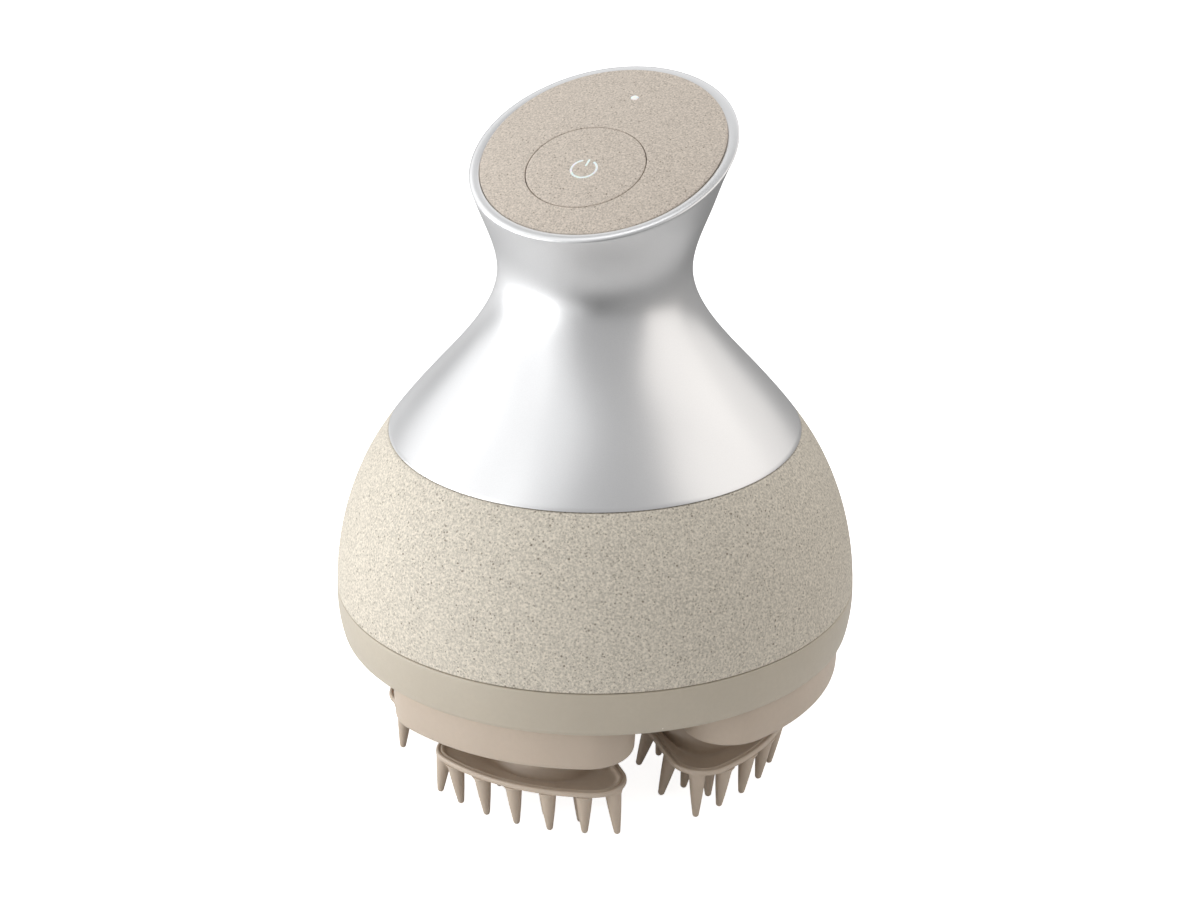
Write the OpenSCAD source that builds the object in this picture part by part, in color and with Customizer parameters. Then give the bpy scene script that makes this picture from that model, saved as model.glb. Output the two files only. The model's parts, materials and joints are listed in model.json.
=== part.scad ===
// Palm-size scalp massager: a flared grip on a bell-shaped body with four
// orbiting massage heads underneath.
// Units are millimetres. +Z is up and the origin is on the body axis, in the
// plane of the tooth tips. -Y is the front, below the low side of the slanted top.

/* [Body] */
// Largest radius of the belly
belly_r = 49; // [48.6:0.1:49.6]
// Radius of the waist below the flared top
waist_r = 18; // [17.6:0.1:18.6]
// Height of the waist
waist_z = 97.2; // [96.5:0.1:98]
// Height of the skirt's lower edge
edge_z = 25; // [24.9:0.05:25.1]
// Height of the joint between the skirt and the belly shell
skirt_z = 34.5; // [34.3:0.1:34.8]
// Height of the joint between the belly shell and the neck shell
neck_z = 65.2; // [64.5:0.1:66]
// Gap left at each joint between shells
seam_gap = 0.15; // [0.1:0.05:0.2]
// Wall of the belly shell
belly_wall = 2.4; // [2.2:0.1:2.5]
// Wall of the neck shell
neck_wall = 2; // [1.9:0.05:2.1]

/* [Slanted top] */
// Height at which the top plane crosses the body axis
top_z = 117.5; // [117:0.1:118]
// Slope of the top plane, degrees
top_tilt = 17.8; // [17:0.2:18.6]
// Height of the panel's crown above the top plane
crown_h = 2.4; // [2:0.1:2.6]
// Radius of the power button
button_r = 11; // [10.6:0.1:11.2]
// Distance of the button centre uphill from the axis
button_s = -3.6; // [-4:0.1:-3]
// Distance of the status light uphill from the axis
light_s = 18.2; // [17.8:0.1:18.4]
// Travel of the power button
button_travel = 0.4; // [0.3:0.05:0.45]

/* [Massage heads] */
// Radius of each head's orbit
orbit_r = 2.7; // [2.5:0.05:2.75]
// Radius of the outer edge of the claws
claw_r = 39; // [38.8:0.1:39.2]
// Distance from a claw's side edge to the diagonal between two heads
claw_gap = 6; // [5.9:0.1:6.1]
// Corner radius of a claw
claw_corner = 6.2; // [6:0.1:6.4]
// Height of the lower edge of a claw's rim
rim_z = 9; // [8.9:0.05:9.1]
// Height of a claw's rim
rim_h = 1.2; // [1.1:0.05:1.3]
// Radius of the outer face of the boots
boot_r = 46.5; // [46.3:0.1:46.8]
// Distance from a boot's side face to the diagonal between two heads
boot_gap = 4.8; // [4.6:0.1:5]
// Corner radius of a boot
boot_corner = 9; // [8.8:0.1:9.2]
// Height of the underside of the boots
boot_z = 17.1; // [17.05:0.05:17.2]

/* [Teeth] */
// Radius of a tooth where it leaves the dish
tooth_base_r = 1.65; // [1.6:0.05:1.7]
// Radius of a tooth's round tip
tooth_tip_r = 0.65; // [0.6:0.05:0.7]

/* [Hidden] */
$fn = 96;

// Heads, as the direction from the body axis
FRONT = -90;
RIGHT = 0;
BACK = 90;
LEFT = 180;
DIRECTIONS = [FRONT, RIGHT, BACK, LEFT];
DIAGONALS = [-135, -45, 45, 135];

// Outline of the body: height, radius and slope at each knot
skirt_edge_r = belly_r - 1.2;
BODY_KNOTS = [[edge_z, skirt_edge_r, 0.3],
              [33, belly_r, 0],
              [57, belly_r - 5.24, -0.4725],
              [77, waist_r + 11.23, -0.876],
              [waist_z, waist_r, 0],
              [109, waist_r + 3.25, 0.4],
              [117, waist_r + 6.25, 0.43],
              [130, waist_r + 13.9, 0.7]];
profile_step = 2;
body_top_z = 129.9;

// How far a cut runs past the surface it opens, and how deep joined solids overlap
past = 1;
overlap = 0.5;

// Gears
pressure_angle = 25;
crank_teeth = 34;
crank_module = 1;
crank_pitch_r = crank_teeth * crank_module / 2;
crank_axis_r = crank_pitch_r * sqrt(2);
drive_module = 0.6;
drive_teeth = 60;
drive_pitch_r = drive_teeth * drive_module / 2;
idler_small_teeth = 14;
idler_small_r = idler_small_teeth * drive_module / 2;
fine_module = 0.5;
idler_large_teeth = 50;
idler_large_r = idler_large_teeth * fine_module / 2;
pinion_teeth = 14;
pinion_r = pinion_teeth * fine_module / 2;
gear_backlash = 0.06;
idler_angle = 82;
motor_angle = 115;
idler_xy = [0, -crank_axis_r] + (drive_pitch_r + idler_small_r) * [cos(idler_angle), sin(idler_angle)];
motor_xy = idler_xy + (pinion_r + idler_large_r) * [cos(motor_angle), sin(motor_angle)];

// Stack of the gearbox
skirt_wall = 2.1;
floor_z = edge_z + 1.4;
plate_z = floor_z + 0.2;
plate_t = 2.8;
plate_top_z = plate_z + plate_t;
plate_r = 45.9;
plate_rim_z = 38;
plate_rim_t = 1.7;
o_ring_r = 0.7;
groove_depth = 0.9;
groove_w = 1.6;
groove_z = plate_rim_z - 1 - groove_w;
crank_gear_z = plate_top_z + 1.6;
crank_gear_t = 4;
drive_gear_z = crank_gear_z + crank_gear_t + 1;
drive_gear_t = 3.2;
large_gear_z = drive_gear_z + drive_gear_t + 0.8;
large_gear_t = 2.6;
cover_z = 43.6;
cover_t = 2;
cover_top_z = cover_z + cover_t;
cover_r = 34.5;
post_xy = 22;
post_r = 3;
post_hole_depth = 7;
idler_post_r = 1.8;
idler_post_z = drive_gear_z - 0.3;
running_gap = 0.05;
end_gap = 0.2;

// Crank and head axis parts
hub_r = 7;
hub_z = edge_z + 0.3;
bushing_r = 8.6;
bushing_flange_r = 10;
bushing_flange_t = 1;
floor_hole_r = bushing_flange_r + 1;
journal_r = 2;
axle_r = 1;
pin_r = 2;
pin_z = 16.6;
pin_top_z = 34;
carrier_r = 5.6;
carrier_top_z = hub_z - 0.5;
carrier_ledge_z = 18.2;
carrier_bottom_z = rim_z + 1.4;
carrier_floor_t = 1.2;
cavity_r = 4.2;
boot_floor_t = 1.8;
boot_wall = 2;
boot_hole_r = 8.5;
clip_z = pin_z + 0.5;
clip_t = 0.6;
clip_r = 3.4;
clip_groove_r = pin_r - 0.4;
seal_disc_r = boot_hole_r + orbit_r + 0.1;
seal_disc_t = 0.7;
seal_disc_z = boot_z - seal_disc_t - 0.1;
drive_hub_r = 6;
drive_hub_h = drive_gear_z - crank_gear_z - crank_gear_t + 2 * overlap;

// Claw
bowl_drop = 1.4;
bowl_z = rim_z - bowl_drop;
bowl_inset = 1;
bowl_floor_t = 2;
rim_t = 1.5;
tooth_root_z = rim_z + 0.4;
claw_neck_r = 7.4;
claw_neck_z = 16.2;

// Drive column
motor_r = 10.2;
motor_len = 25;
motor_top_z = cover_top_z + motor_len;
motor_bore_len = motor_len - 3;
shaft_r = 0.75;
shaft_len = 20;
boss_r = 3;
cup_r = motor_r + 0.1;
cup_wall = 1.2;
deck_z = motor_top_z + 0.2;
deck_t = 2;
deck_top_z = deck_z + deck_t;
deck_r = 15;
cell_r = 8.25;
cell_len = 34;
cell_z = deck_top_z + 0.1;
cell_tip_r = 2.5;
cell_tip_h = 0.7;
cradle_r = cell_r + 0.1;
cradle_wall = 1.5;
cradle_top_z = 104;
cradle_slot_w = 12;
cradle_slot_z = deck_top_z + 2;
main_board_y = 10.6;
main_board_w = 14;
main_board_t = 1.2;
main_board_z = deck_top_z + 3;
main_board_top_z = 103;
rail_x = 5;
rail_y = cradle_r - cradle_wall;
rail_t = 1.5;
lead_x = 2.5;
lead_r = 0.55;
lead_hole_r = 0.9;
// Chips on the main board: width, depth, length and height above the board's low end
CHIPS = [[6, 1.2, 6, 8],
         [4, 1, 4, 17]];
flex_w = 6;
flex_t = 0.3;
flex_y = main_board_y + 0.4;

// Parts below the top panel, as depths below the top plane
panel_t = 2;
panel_gap = 0.12;
panel_low_z = waist_z + 6;
ledge_gap = 0.1;
ledge_t = 1.3;
ledge_w = 1.3;
slab_w = 100;
hole_reach = 10;
button_gap = 0.14;
flange_depth = 2.2;
flange_t = 0.9;
flange_r = button_r + 1.3;
button_bottom = flange_depth + flange_t;
board_depth = 5;
board_t = 1;
board_w = 20;
board_len = 27;
board_low_s = -13;
tail_w = 8;
tail_len = 7.5;
switch_t = 1.1;
switch_w = 5.2;
plunger_r = 1.2;
plunger_len = 1.2;
plunger_room = plunger_len + button_travel + 0.1;
lens_r = 0.75;
led_w = 1.6;
led_t = 0.8;
crown_r = 105;
crown_s = 3.5;
crown_reach = 45;
crown_steps = 15;
stud_s = 11;
stud_x = 7;
stud_r = 1.7;
stud_hole_depth = 2.4;
board_screw_r = 0.7;
board_screw_len = 2.8;
board_screw_head_r = 1.4;
board_screw_head_t = 0.7;

// Screws
screw_gap = 0.15;
case_screw_r = 1.25;
case_screw_len = 18;
case_screw_head_r = 2.3;
case_screw_head_t = 1.9;
case_screw_axis_r = 38;
case_boss_r = 3.2;
case_boss_h = 12;
case_boss_reach = 20;
case_hole_depth = 8;
cover_screw_r = 1;
cover_screw_depth = 4;
cover_screw_head_r = 1.9;
cover_screw_head_t = 1.2;
frame_foot_r = 2.4;
frame_foot_t = 2;
frame_screw_axis_r = 13.7;
FRAME_SCREW_ANGLES = [20, 160, 270];

// Charging recess at the back
socket_z = 47;
socket_tilt = 12.4;
socket_r = 7.2;
recess_r = 6;
recess_depth = 1.5;
socket_face = 0.75;
socket_back = 5;
socket_cut = 8;
contact_r = 0.9;
contact_x = 1.9;
contact_tail = 0.6;
magnet_r = 1.2;
magnet_x = 4.5;
magnet_t = 2;

// Joint between the belly and neck shells
spigot_low = 2;
spigot_h = 4;
spigot_gap = 0.1;
spigot_t = 1.7;

// Body outline

function hermite(a, b, z) =
    let (h = b[0] - a[0], t = (z - a[0]) / h)
    a[1] * (2 * pow(t, 3) - 3 * pow(t, 2) + 1)
    + a[2] * h * (pow(t, 3) - 2 * pow(t, 2) + t)
    + b[1] * (3 * pow(t, 2) - 2 * pow(t, 3))
    + b[2] * h * (pow(t, 3) - pow(t, 2));

function knot_below(z) = max([for (i = [0 : len(BODY_KNOTS) - 2]) (z >= BODY_KNOTS[i][0]) ? i : 0]);

function body_r(z) = let (i = knot_below(z)) hermite(BODY_KNOTS[i], BODY_KNOTS[i + 1], z);

function body_slope(z) = (body_r(z + 0.01) - body_r(z - 0.01)) / 0.02;

// Radius of the surface that lies the given depth under the body's surface
function inside_r(z, depth) = body_r(z) - depth * sqrt(1 + pow(body_slope(z), 2));

function heights(z0, z1) =
    let (n = ceil((z1 - z0) / profile_step))
    [for (i = [0 : n]) z0 + (z1 - z0) * i / n];

// Solid of revolution that lies the given depth under the body's surface
module body_core(z0, z1, depth) {
    rim = [for (z = heights(z0, z1)) [inside_r(z, depth), z]];
    rotate_extrude()
        polygon(concat([[0, z0]], rim, [[0, z1]]));
}

// Shell of revolution between two depths under the body's surface
module body_shell(z0, z1, outer_depth, inner_depth) {
    levels = heights(z0, z1);
    n = len(levels);
    outer = [for (z = levels) [inside_r(z, outer_depth), z]];
    inner = [for (i = [n - 1 : -1 : 0]) [inside_r(levels[i], inner_depth), levels[i]]];
    rotate_extrude()
        polygon(concat(outer, inner));
}

module tube(r_out, r_in, h) {
    difference() {
        cylinder(r = r_out, h = h);
        translate([0, 0, -past])
            cylinder(r = r_in, h = h + 2 * past);
    }
}

// Frame of the slanted top: x across, y uphill, z out of the panel
module on_top() {
    translate([0, 0, top_z])
        rotate([top_tilt, 0, 0])
            children();
}

module slab(low, high) {
    translate([-slab_w / 2, -slab_w / 2, low])
        cube([slab_w, slab_w, high - low]);
}

// Solid under the panel's crowned surface
module crown_cap() {
    step = crown_reach / crown_steps;
    rotate_extrude()
        polygon(concat([[0, -crown_reach], [crown_reach, -crown_reach]],
                       [for (i = [crown_steps : -1 : 0]) [i * step, -pow(i * step, 2) / (2 * crown_r)]]));
}

module under_crown() {
    translate([0, crown_s, crown_h])
        crown_cap();
}

// Places on the diagonals between the heads, at a distance from the body axis
module on_diagonals(r) {
    for (a = DIAGONALS)
        rotate([0, 0, a])
            translate([r, 0, 0])
                children();
}

// Outer shells

module neck_shell() color([0.80, 0.80, 0.81]) {
    difference() {
        body_shell(neck_z + seam_gap, body_top_z, 0, neck_wall);
        on_top()
            slab(0, slab_w);
    }
    intersection() {
        body_shell(panel_low_z, body_top_z, neck_wall - overlap, neck_wall + ledge_w);
        on_top()
            slab(-panel_t - ledge_gap - ledge_t, -panel_t - ledge_gap);
    }
}

module case_boss(z0, h) {
    intersection() {
        translate([0, -case_boss_r, z0])
            cube([case_boss_reach, 2 * case_boss_r, h]);
        translate([-case_screw_axis_r, 0, 0])
            body_core(z0, z0 + h, belly_wall - overlap);
    }
    translate([0, 0, z0])
        cylinder(r = case_boss_r, h = h);
}

module belly_shell() color([0.74, 0.71, 0.65]) {
    difference() {
        union() {
            body_shell(skirt_z, neck_z, 0, belly_wall);
            body_shell(neck_z - spigot_low, neck_z + spigot_h, neck_wall + spigot_gap,
                       neck_wall + spigot_gap + spigot_t);
            on_diagonals(case_screw_axis_r)
                case_boss(plate_rim_z + end_gap, case_boss_h);
        }
        on_diagonals(case_screw_axis_r)
            translate([0, 0, plate_rim_z - past])
                cylinder(r = case_screw_r, h = case_hole_depth + past);
        on_socket()
            translate([0, 0, -socket_cut])
                cylinder(r = socket_r, h = 2 * socket_cut);
    }
}

// Hole about a head's crank axis through a floor between two heights
module head_hole(a, r, z0, z1) {
    at_head(a)
        translate([0, 0, z0 - past])
            cylinder(r = r, h = z1 - z0 + 2 * past);
}

module skirt_cover() color([0.64, 0.60, 0.55]) {
    difference() {
        union() {
            body_shell(edge_z, skirt_z - seam_gap, 0, skirt_wall);
            translate([0, 0, edge_z])
                cylinder(r = skirt_edge_r - skirt_wall / 2, h = floor_z - edge_z);
        }
        for (a = DIRECTIONS)
            head_hole(a, floor_hole_r, edge_z, floor_z);
    }
}

module base_plate() color([0.30, 0.30, 0.32]) {
    difference() {
        union() {
            translate([0, 0, plate_z])
                cylinder(r = plate_r, h = plate_t);
            translate([0, 0, plate_z])
                tube(plate_r, plate_r - plate_rim_t, plate_rim_z - plate_z);
            on_diagonals(case_screw_axis_r)
                translate([0, 0, plate_z])
                    cylinder(r = case_boss_r, h = plate_rim_z - plate_z);
            on_diagonals(post_xy * sqrt(2))
                translate([0, 0, plate_z])
                    cylinder(r = post_r, h = cover_z - plate_z);
            at_idler(plate_z)
                cylinder(r = idler_post_r, h = idler_post_z - plate_z);
        }
        for (a = DIRECTIONS)
            head_hole(a, bushing_r, plate_z, plate_top_z);
        on_diagonals(case_screw_axis_r)
            translate([0, 0, plate_z - past]) {
                cylinder(r = case_screw_r + screw_gap, h = plate_rim_z - plate_z + 2 * past);
                cylinder(r = case_screw_head_r + screw_gap, h = case_screw_head_t + screw_gap + past);
            }
        on_diagonals(post_xy * sqrt(2))
            translate([0, 0, cover_z - post_hole_depth])
                cylinder(r = cover_screw_r, h = post_hole_depth + past);
        at_idler(plate_top_z)
            cylinder(r = axle_r, h = idler_post_z - plate_top_z + past);
        translate([0, 0, groove_z])
            tube(plate_r + past, plate_r - groove_depth, groove_w);
    }
}

module body_o_ring() color([0.12, 0.12, 0.12])
    translate([0, 0, groove_z + groove_w / 2])
        rotate_extrude()
            translate([plate_r - groove_depth + o_ring_r + running_gap, 0])
                circle(r = o_ring_r, $fn = 32);

module cover_hole(r) {
    translate([0, 0, cover_z - past])
        cylinder(r = r, h = cover_t + 2 * past);
}

module gearbox_cover() color([0.34, 0.34, 0.36]) {
    difference() {
        translate([0, 0, cover_z])
            cylinder(r = cover_r, h = cover_t);
        for (a = DIRECTIONS)
            head_hole(a, journal_r + running_gap, cover_z, cover_top_z);
        on_diagonals(post_xy * sqrt(2))
            cover_hole(cover_screw_r + screw_gap);
        at_idler(0)
            cover_hole(axle_r);
        at_motor(0)
            cover_hole(boss_r);
        at_frame_screws(0)
            cover_hole(cover_screw_r);
    }
}

// Slanted top

module top_panel() color([0.80, 0.76, 0.71]) {
    difference() {
        intersection() {
            body_core(panel_low_z, body_top_z, neck_wall + panel_gap);
            on_top()
                slab(-panel_t, crown_h + past);
            on_top()
                under_crown();
        }
        on_top()
            translate([0, 0, -hole_reach]) {
                translate([0, button_s, 0])
                    cylinder(r = button_r + button_gap, h = 2 * hole_reach);
                translate([0, light_s, 0])
                    cylinder(r = lens_r, h = 2 * hole_reach);
            }
    }
    at_studs(-board_depth)
        difference() {
            cylinder(r = stud_r, h = board_depth - panel_t + overlap);
            translate([0, 0, -past])
                cylinder(r = board_screw_r, h = stud_hole_depth + past);
        }
}

// Places of the two studs that carry the button board, at a height on the slanted top
module at_studs(h) {
    on_top()
        for (side = [-1, 1])
            translate([side * stud_x, stud_s, h])
                children();
}

module power_button() color([0.80, 0.76, 0.71])
    on_top() {
        intersection() {
            translate([0, button_s, -flange_depth - overlap])
                cylinder(r = button_r, h = hole_reach);
            under_crown();
        }
        translate([0, button_s, -button_bottom])
            cylinder(r = flange_r, h = flange_t);
    }

module switch_plunger() color([0.15, 0.15, 0.15])
    on_top()
        translate([0, button_s, -button_bottom - plunger_len])
            cylinder(r = plunger_r, h = plunger_len);

module tact_switch() color([0.70, 0.70, 0.68])
    on_top()
        difference() {
            translate([-switch_w / 2, button_s - switch_w / 2, -board_depth])
                cube([switch_w, switch_w, switch_t]);
            translate([0, button_s, -button_bottom - plunger_room])
                cylinder(r = plunger_r + running_gap, h = plunger_room);
        }

module button_board() color([0.10, 0.35, 0.20])
    difference() {
        on_top()
            translate([0, board_low_s, -board_depth - board_t]) {
                translate([-board_w / 2, 0, 0])
                    cube([board_w, board_len, board_t]);
                translate([-tail_w / 2, board_len, 0])
                    cube([tail_w, tail_len, board_t]);
            }
        at_studs(-board_depth - board_t - past)
            cylinder(r = board_screw_r + 0.1, h = board_t + 2 * past);
    }

module board_screws() color([0.75, 0.75, 0.75])
    at_studs(-board_depth - board_t) {
        cylinder(r = board_screw_r, h = board_screw_len);
        translate([0, 0, -board_screw_head_t])
            cylinder(r = board_screw_head_r, h = board_screw_head_t);
    }

module status_lens() color([0.95, 0.95, 0.95])
    on_top()
        intersection() {
            translate([0, light_s, -board_depth + led_t + 0.1])
                cylinder(r = lens_r, h = hole_reach);
            under_crown();
        }

module status_led() color([0.90, 0.88, 0.60])
    on_top()
        translate([-led_w / 2, light_s - led_t / 2, -board_depth])
            cube([led_w, led_t, led_t]);

module flex_cable() color([0.75, 0.50, 0.15])
    difference() {
        translate([-flex_w / 2, flex_y, main_board_top_z])
            cube([flex_w, flex_t, top_z - main_board_top_z]);
        on_top()
            slab(-board_depth - board_t - running_gap, slab_w);
    }

// Drive column

module at_motor(z) {
    translate([motor_xy[0], motor_xy[1], z])
        children();
}

module at_idler(z) {
    translate([idler_xy[0], idler_xy[1], z])
        children();
}

module at_frame_screws(z) {
    at_motor(z)
        for (a = FRAME_SCREW_ANGLES)
            rotate([0, 0, a])
                translate([frame_screw_axis_r, 0, 0])
                    children();
}

module core_frame() color([0.88, 0.88, 0.86]) {
    difference() {
        union() {
            at_motor(cover_top_z)
                cylinder(r = cup_r + cup_wall, h = deck_top_z - cover_top_z);
            at_frame_screws(cover_top_z)
                cylinder(r = frame_foot_r, h = frame_foot_t);
            translate([0, 0, deck_z])
                cylinder(r = deck_r, h = deck_t);
            translate([0, 0, deck_z])
                cylinder(r = cradle_r + cradle_wall, h = cradle_top_z - deck_z);
            for (side = [-1, 1])
                translate([side * rail_x - rail_t / 2, rail_y, main_board_z])
                    cube([rail_t, main_board_y - rail_y, main_board_top_z - main_board_z]);
        }
        at_motor(cover_top_z - past)
            cylinder(r = cup_r, h = deck_z - cover_top_z + past);
        at_frame_screws(cover_top_z - past)
            cylinder(r = cover_screw_r + 0.1, h = frame_foot_t + 2 * past);
        translate([0, 0, deck_top_z])
            cylinder(r = cradle_r, h = cradle_top_z);
        translate([-cradle_slot_w / 2, -deck_r, cradle_slot_z])
            cube([cradle_slot_w, deck_r, cradle_top_z]);
        at_leads(deck_z - past)
            cylinder(r = lead_hole_r, h = main_board_z - deck_z);
    }
}

module frame_screws() color([0.75, 0.75, 0.75])
    at_frame_screws(cover_z + end_gap) {
        cylinder(r = cover_screw_r, h = cover_t + frame_foot_t - end_gap);
        translate([0, 0, cover_t + frame_foot_t - end_gap])
            cylinder(r = cover_screw_head_r, h = cover_screw_head_t);
    }

module battery_cell() color([0.20, 0.35, 0.65])
    translate([0, 0, cell_z]) {
        cylinder(r = cell_r, h = cell_len);
        cylinder(r = cell_tip_r, h = cell_len + cell_tip_h);
    }

module main_board() color([0.10, 0.35, 0.20]) {
    translate([-main_board_w / 2, main_board_y, main_board_z])
        cube([main_board_w, main_board_t, main_board_top_z - main_board_z]);
    for (chip = CHIPS)
        translate([-chip[0] / 2, main_board_y + main_board_t, main_board_z + chip[3]])
            cube([chip[0], chip[1], chip[2]]);
}

module motor() color([0.68, 0.69, 0.71])
    difference() {
        union() {
            at_motor(cover_top_z)
                cylinder(r = motor_r, h = motor_len);
            at_motor(cover_z + end_gap)
                cylinder(r = boss_r, h = cover_t);
        }
        at_motor(cover_z - past)
            cylinder(r = shaft_r + running_gap, h = motor_bore_len);
    }

module at_leads(z) {
    for (side = [-1, 1])
        translate([motor_xy[0] + side * lead_x, main_board_y + main_board_t / 2, z])
            children();
}

module motor_leads() color([0.75, 0.15, 0.12])
    at_leads(motor_top_z)
        cylinder(r = lead_r, h = main_board_z - motor_top_z);

module motor_pinion() color([0.85, 0.72, 0.40])
    at_motor(large_gear_z - end_gap) {
        rotate([0, 0, motor_angle + 180 + 180 / pinion_teeth])
            gear(pinion_teeth, fine_module, large_gear_t + 2 * end_gap);
        cylinder(r = shaft_r, h = shaft_len);
    }

// Gears

function involute(a) = tan(a) * 180 / PI - a;

// Half the angle that a tooth fills at radius r
function tooth_half_angle(teeth, pitch_r, base_r, r) =
    let (at_r = (r > base_r) ? acos(base_r / r) : 0)
    90 / teeth - gear_backlash / pitch_r * 90 / PI + involute(pressure_angle) - involute(at_r);

function gear_outline(teeth, pitch_module) =
    let (pitch_r = teeth * pitch_module / 2)
    let (base_r = pitch_r * cos(pressure_angle))
    let (root_r = pitch_r - 1.2 * pitch_module)
    let (tip_r = pitch_r + 0.95 * pitch_module)
    let (levels = [root_r, max(base_r, root_r + 0.2 * pitch_module), pitch_r, (pitch_r + tip_r) / 2, tip_r])
    [for (k = [0 : teeth - 1])
        for (j = [0 : 9])
            let (r = levels[(j < 5) ? j : 9 - j])
            let (side = (j < 5) ? -1 : 1)
            let (a = k * 360 / teeth + side * tooth_half_angle(teeth, pitch_r, base_r, r))
            [r * cos(a), r * sin(a)]];

// Gear with a tooth centred on +X
module gear(teeth, pitch_module, h) {
    linear_extrude(height = h)
        polygon(gear_outline(teeth, pitch_module));
}

module idler_gear() color([0.90, 0.88, 0.80])
    at_idler(drive_gear_z)
        difference() {
            union() {
                rotate([0, 0, idler_angle + 180 + 180 / idler_small_teeth])
                    gear(idler_small_teeth, drive_module, large_gear_z - drive_gear_z + overlap);
                translate([0, 0, large_gear_z - drive_gear_z])
                    rotate([0, 0, motor_angle])
                        gear(idler_large_teeth, fine_module, large_gear_t);
            }
            translate([0, 0, -past])
                cylinder(r = axle_r + running_gap, h = cover_z - drive_gear_z + past);
        }

module idler_axle() color([0.78, 0.78, 0.80])
    at_idler(plate_top_z)
        cylinder(r = axle_r, h = cover_top_z - plate_top_z - end_gap);

// Massage heads. Each head is drawn with its crank axis at the origin of x and y
// and its outward direction along +X.

module at_head(a) {
    rotate([0, 0, a])
        translate([crank_axis_r, 0, 0])
            children();
}

// Direction from each crank's axis to its pin at rest. The cranks are out of step,
// so neighbouring claws squeeze and part as they orbit.
function pin_angle(a) = a + ((a == RIGHT) ? -100 : (a == LEFT) ? 100 : 50);

module at_pin(a) {
    translate(orbit_r * [cos(pin_angle(a)), sin(pin_angle(a)), 0])
        at_head(a)
            children();
}

module crank_gear(a, tooth_at) color([0.92, 0.90, 0.84])
    difference() {
        union() {
            at_head(a) {
                translate([0, 0, hub_z])
                    cylinder(r = hub_r - running_gap, h = crank_gear_z - hub_z + overlap);
                translate([0, 0, crank_gear_z])
                    rotate([0, 0, tooth_at - a])
                        gear(crank_teeth, crank_module, crank_gear_t);
                translate([0, 0, crank_gear_z])
                    cylinder(r = journal_r, h = cover_top_z - crank_gear_z - end_gap);
            }
            if (a == FRONT)
                at_head(a) {
                    translate([0, 0, crank_gear_z + crank_gear_t - overlap])
                        cylinder(r = drive_hub_r, h = drive_hub_h);
                    translate([0, 0, drive_gear_z])
                        rotate([0, 0, idler_angle - a])
                            gear(drive_teeth, drive_module, drive_gear_t);
                }
        }
        at_pin(a)
            translate([0, 0, pin_z - past])
                cylinder(r = pin_r, h = pin_top_z - pin_z + past);
    }

module crank_pin(a) color([0.78, 0.78, 0.80])
    difference() {
        at_pin(a)
            translate([0, 0, pin_z])
                cylinder(r = pin_r, h = pin_top_z - pin_z);
        at_pin(a)
            translate([0, 0, clip_z])
                tube(pin_r + past, clip_groove_r, clip_t);
    }

module pin_clip(a) color([0.45, 0.45, 0.47])
    at_pin(a)
        translate([0, 0, clip_z])
            tube(clip_r, clip_groove_r, clip_t);

module carrier(a) color([0.36, 0.35, 0.33])
    at_pin(a)
        difference() {
            translate([0, 0, carrier_bottom_z])
                cylinder(r = carrier_r, h = carrier_top_z - carrier_bottom_z);
            translate([0, 0, carrier_bottom_z + carrier_floor_t])
                cylinder(r = cavity_r, h = carrier_ledge_z - carrier_bottom_z - carrier_floor_t);
            translate([0, 0, carrier_ledge_z - past])
                cylinder(r = pin_r + running_gap, h = carrier_top_z - carrier_ledge_z + 2 * past);
        }

module seal_disc(a) color([0.67, 0.62, 0.56])
    at_pin(a)
        translate([0, 0, seal_disc_z])
            tube(seal_disc_r, carrier_r, seal_disc_t);

module crank_bushings() color([0.80, 0.62, 0.30])
    for (a = DIRECTIONS)
        at_head(a) {
            translate([0, 0, plate_z])
                tube(bushing_r, hub_r, plate_t);
            translate([0, 0, plate_top_z])
                tube(bushing_flange_r, hub_r, bushing_flange_t);
        }

// Quarter sector with round corners, its axis along +X. r is the radius of the
// outer arc about the body axis and gap the distance from a side to the diagonal.
function arc_points(centre, r, a0, a1, n) =
    [for (i = [0 : n]) centre + r * [cos(a0 + (a1 - a0) * i / n), sin(a0 + (a1 - a0) * i / n)]];

function sector_outline(r, gap, corner) =
    let (turn = 45 - asin((gap + corner) / (r - corner)))
    let (far = (r - corner) * [cos(turn), sin(turn)])
    let (near = [(gap + corner) * sqrt(2), 0])
    concat(arc_points([0, 0], r, -turn, turn, 12),
           arc_points(far, corner, turn, 135, 8),
           arc_points(near, corner, 135, 225, 6),
           arc_points([far[0], -far[1]], corner, 225, 360 - turn, 8));

module sector(r, gap, corner, z, h) {
    translate([0, 0, z])
        linear_extrude(height = h)
            polygon(sector_outline(r, gap, corner));
}

// The same sector drawn in by an even distance all round
module inset_sector(r, gap, corner, inset, z, h) {
    sector(r - inset, gap + inset, corner - inset, z, h);
}

module boot(a) color([0.69, 0.64, 0.58])
    rotate([0, 0, a])
        difference() {
            sector(boot_r, boot_gap, boot_corner, boot_z, edge_z - boot_z);
            inset_sector(boot_r, boot_gap, boot_corner, boot_wall, boot_z + boot_floor_t, edge_z - boot_z);
            translate([crank_axis_r, 0, boot_z - past])
                cylinder(r = boot_hole_r, h = boot_floor_t + 2 * past);
        }

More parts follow.
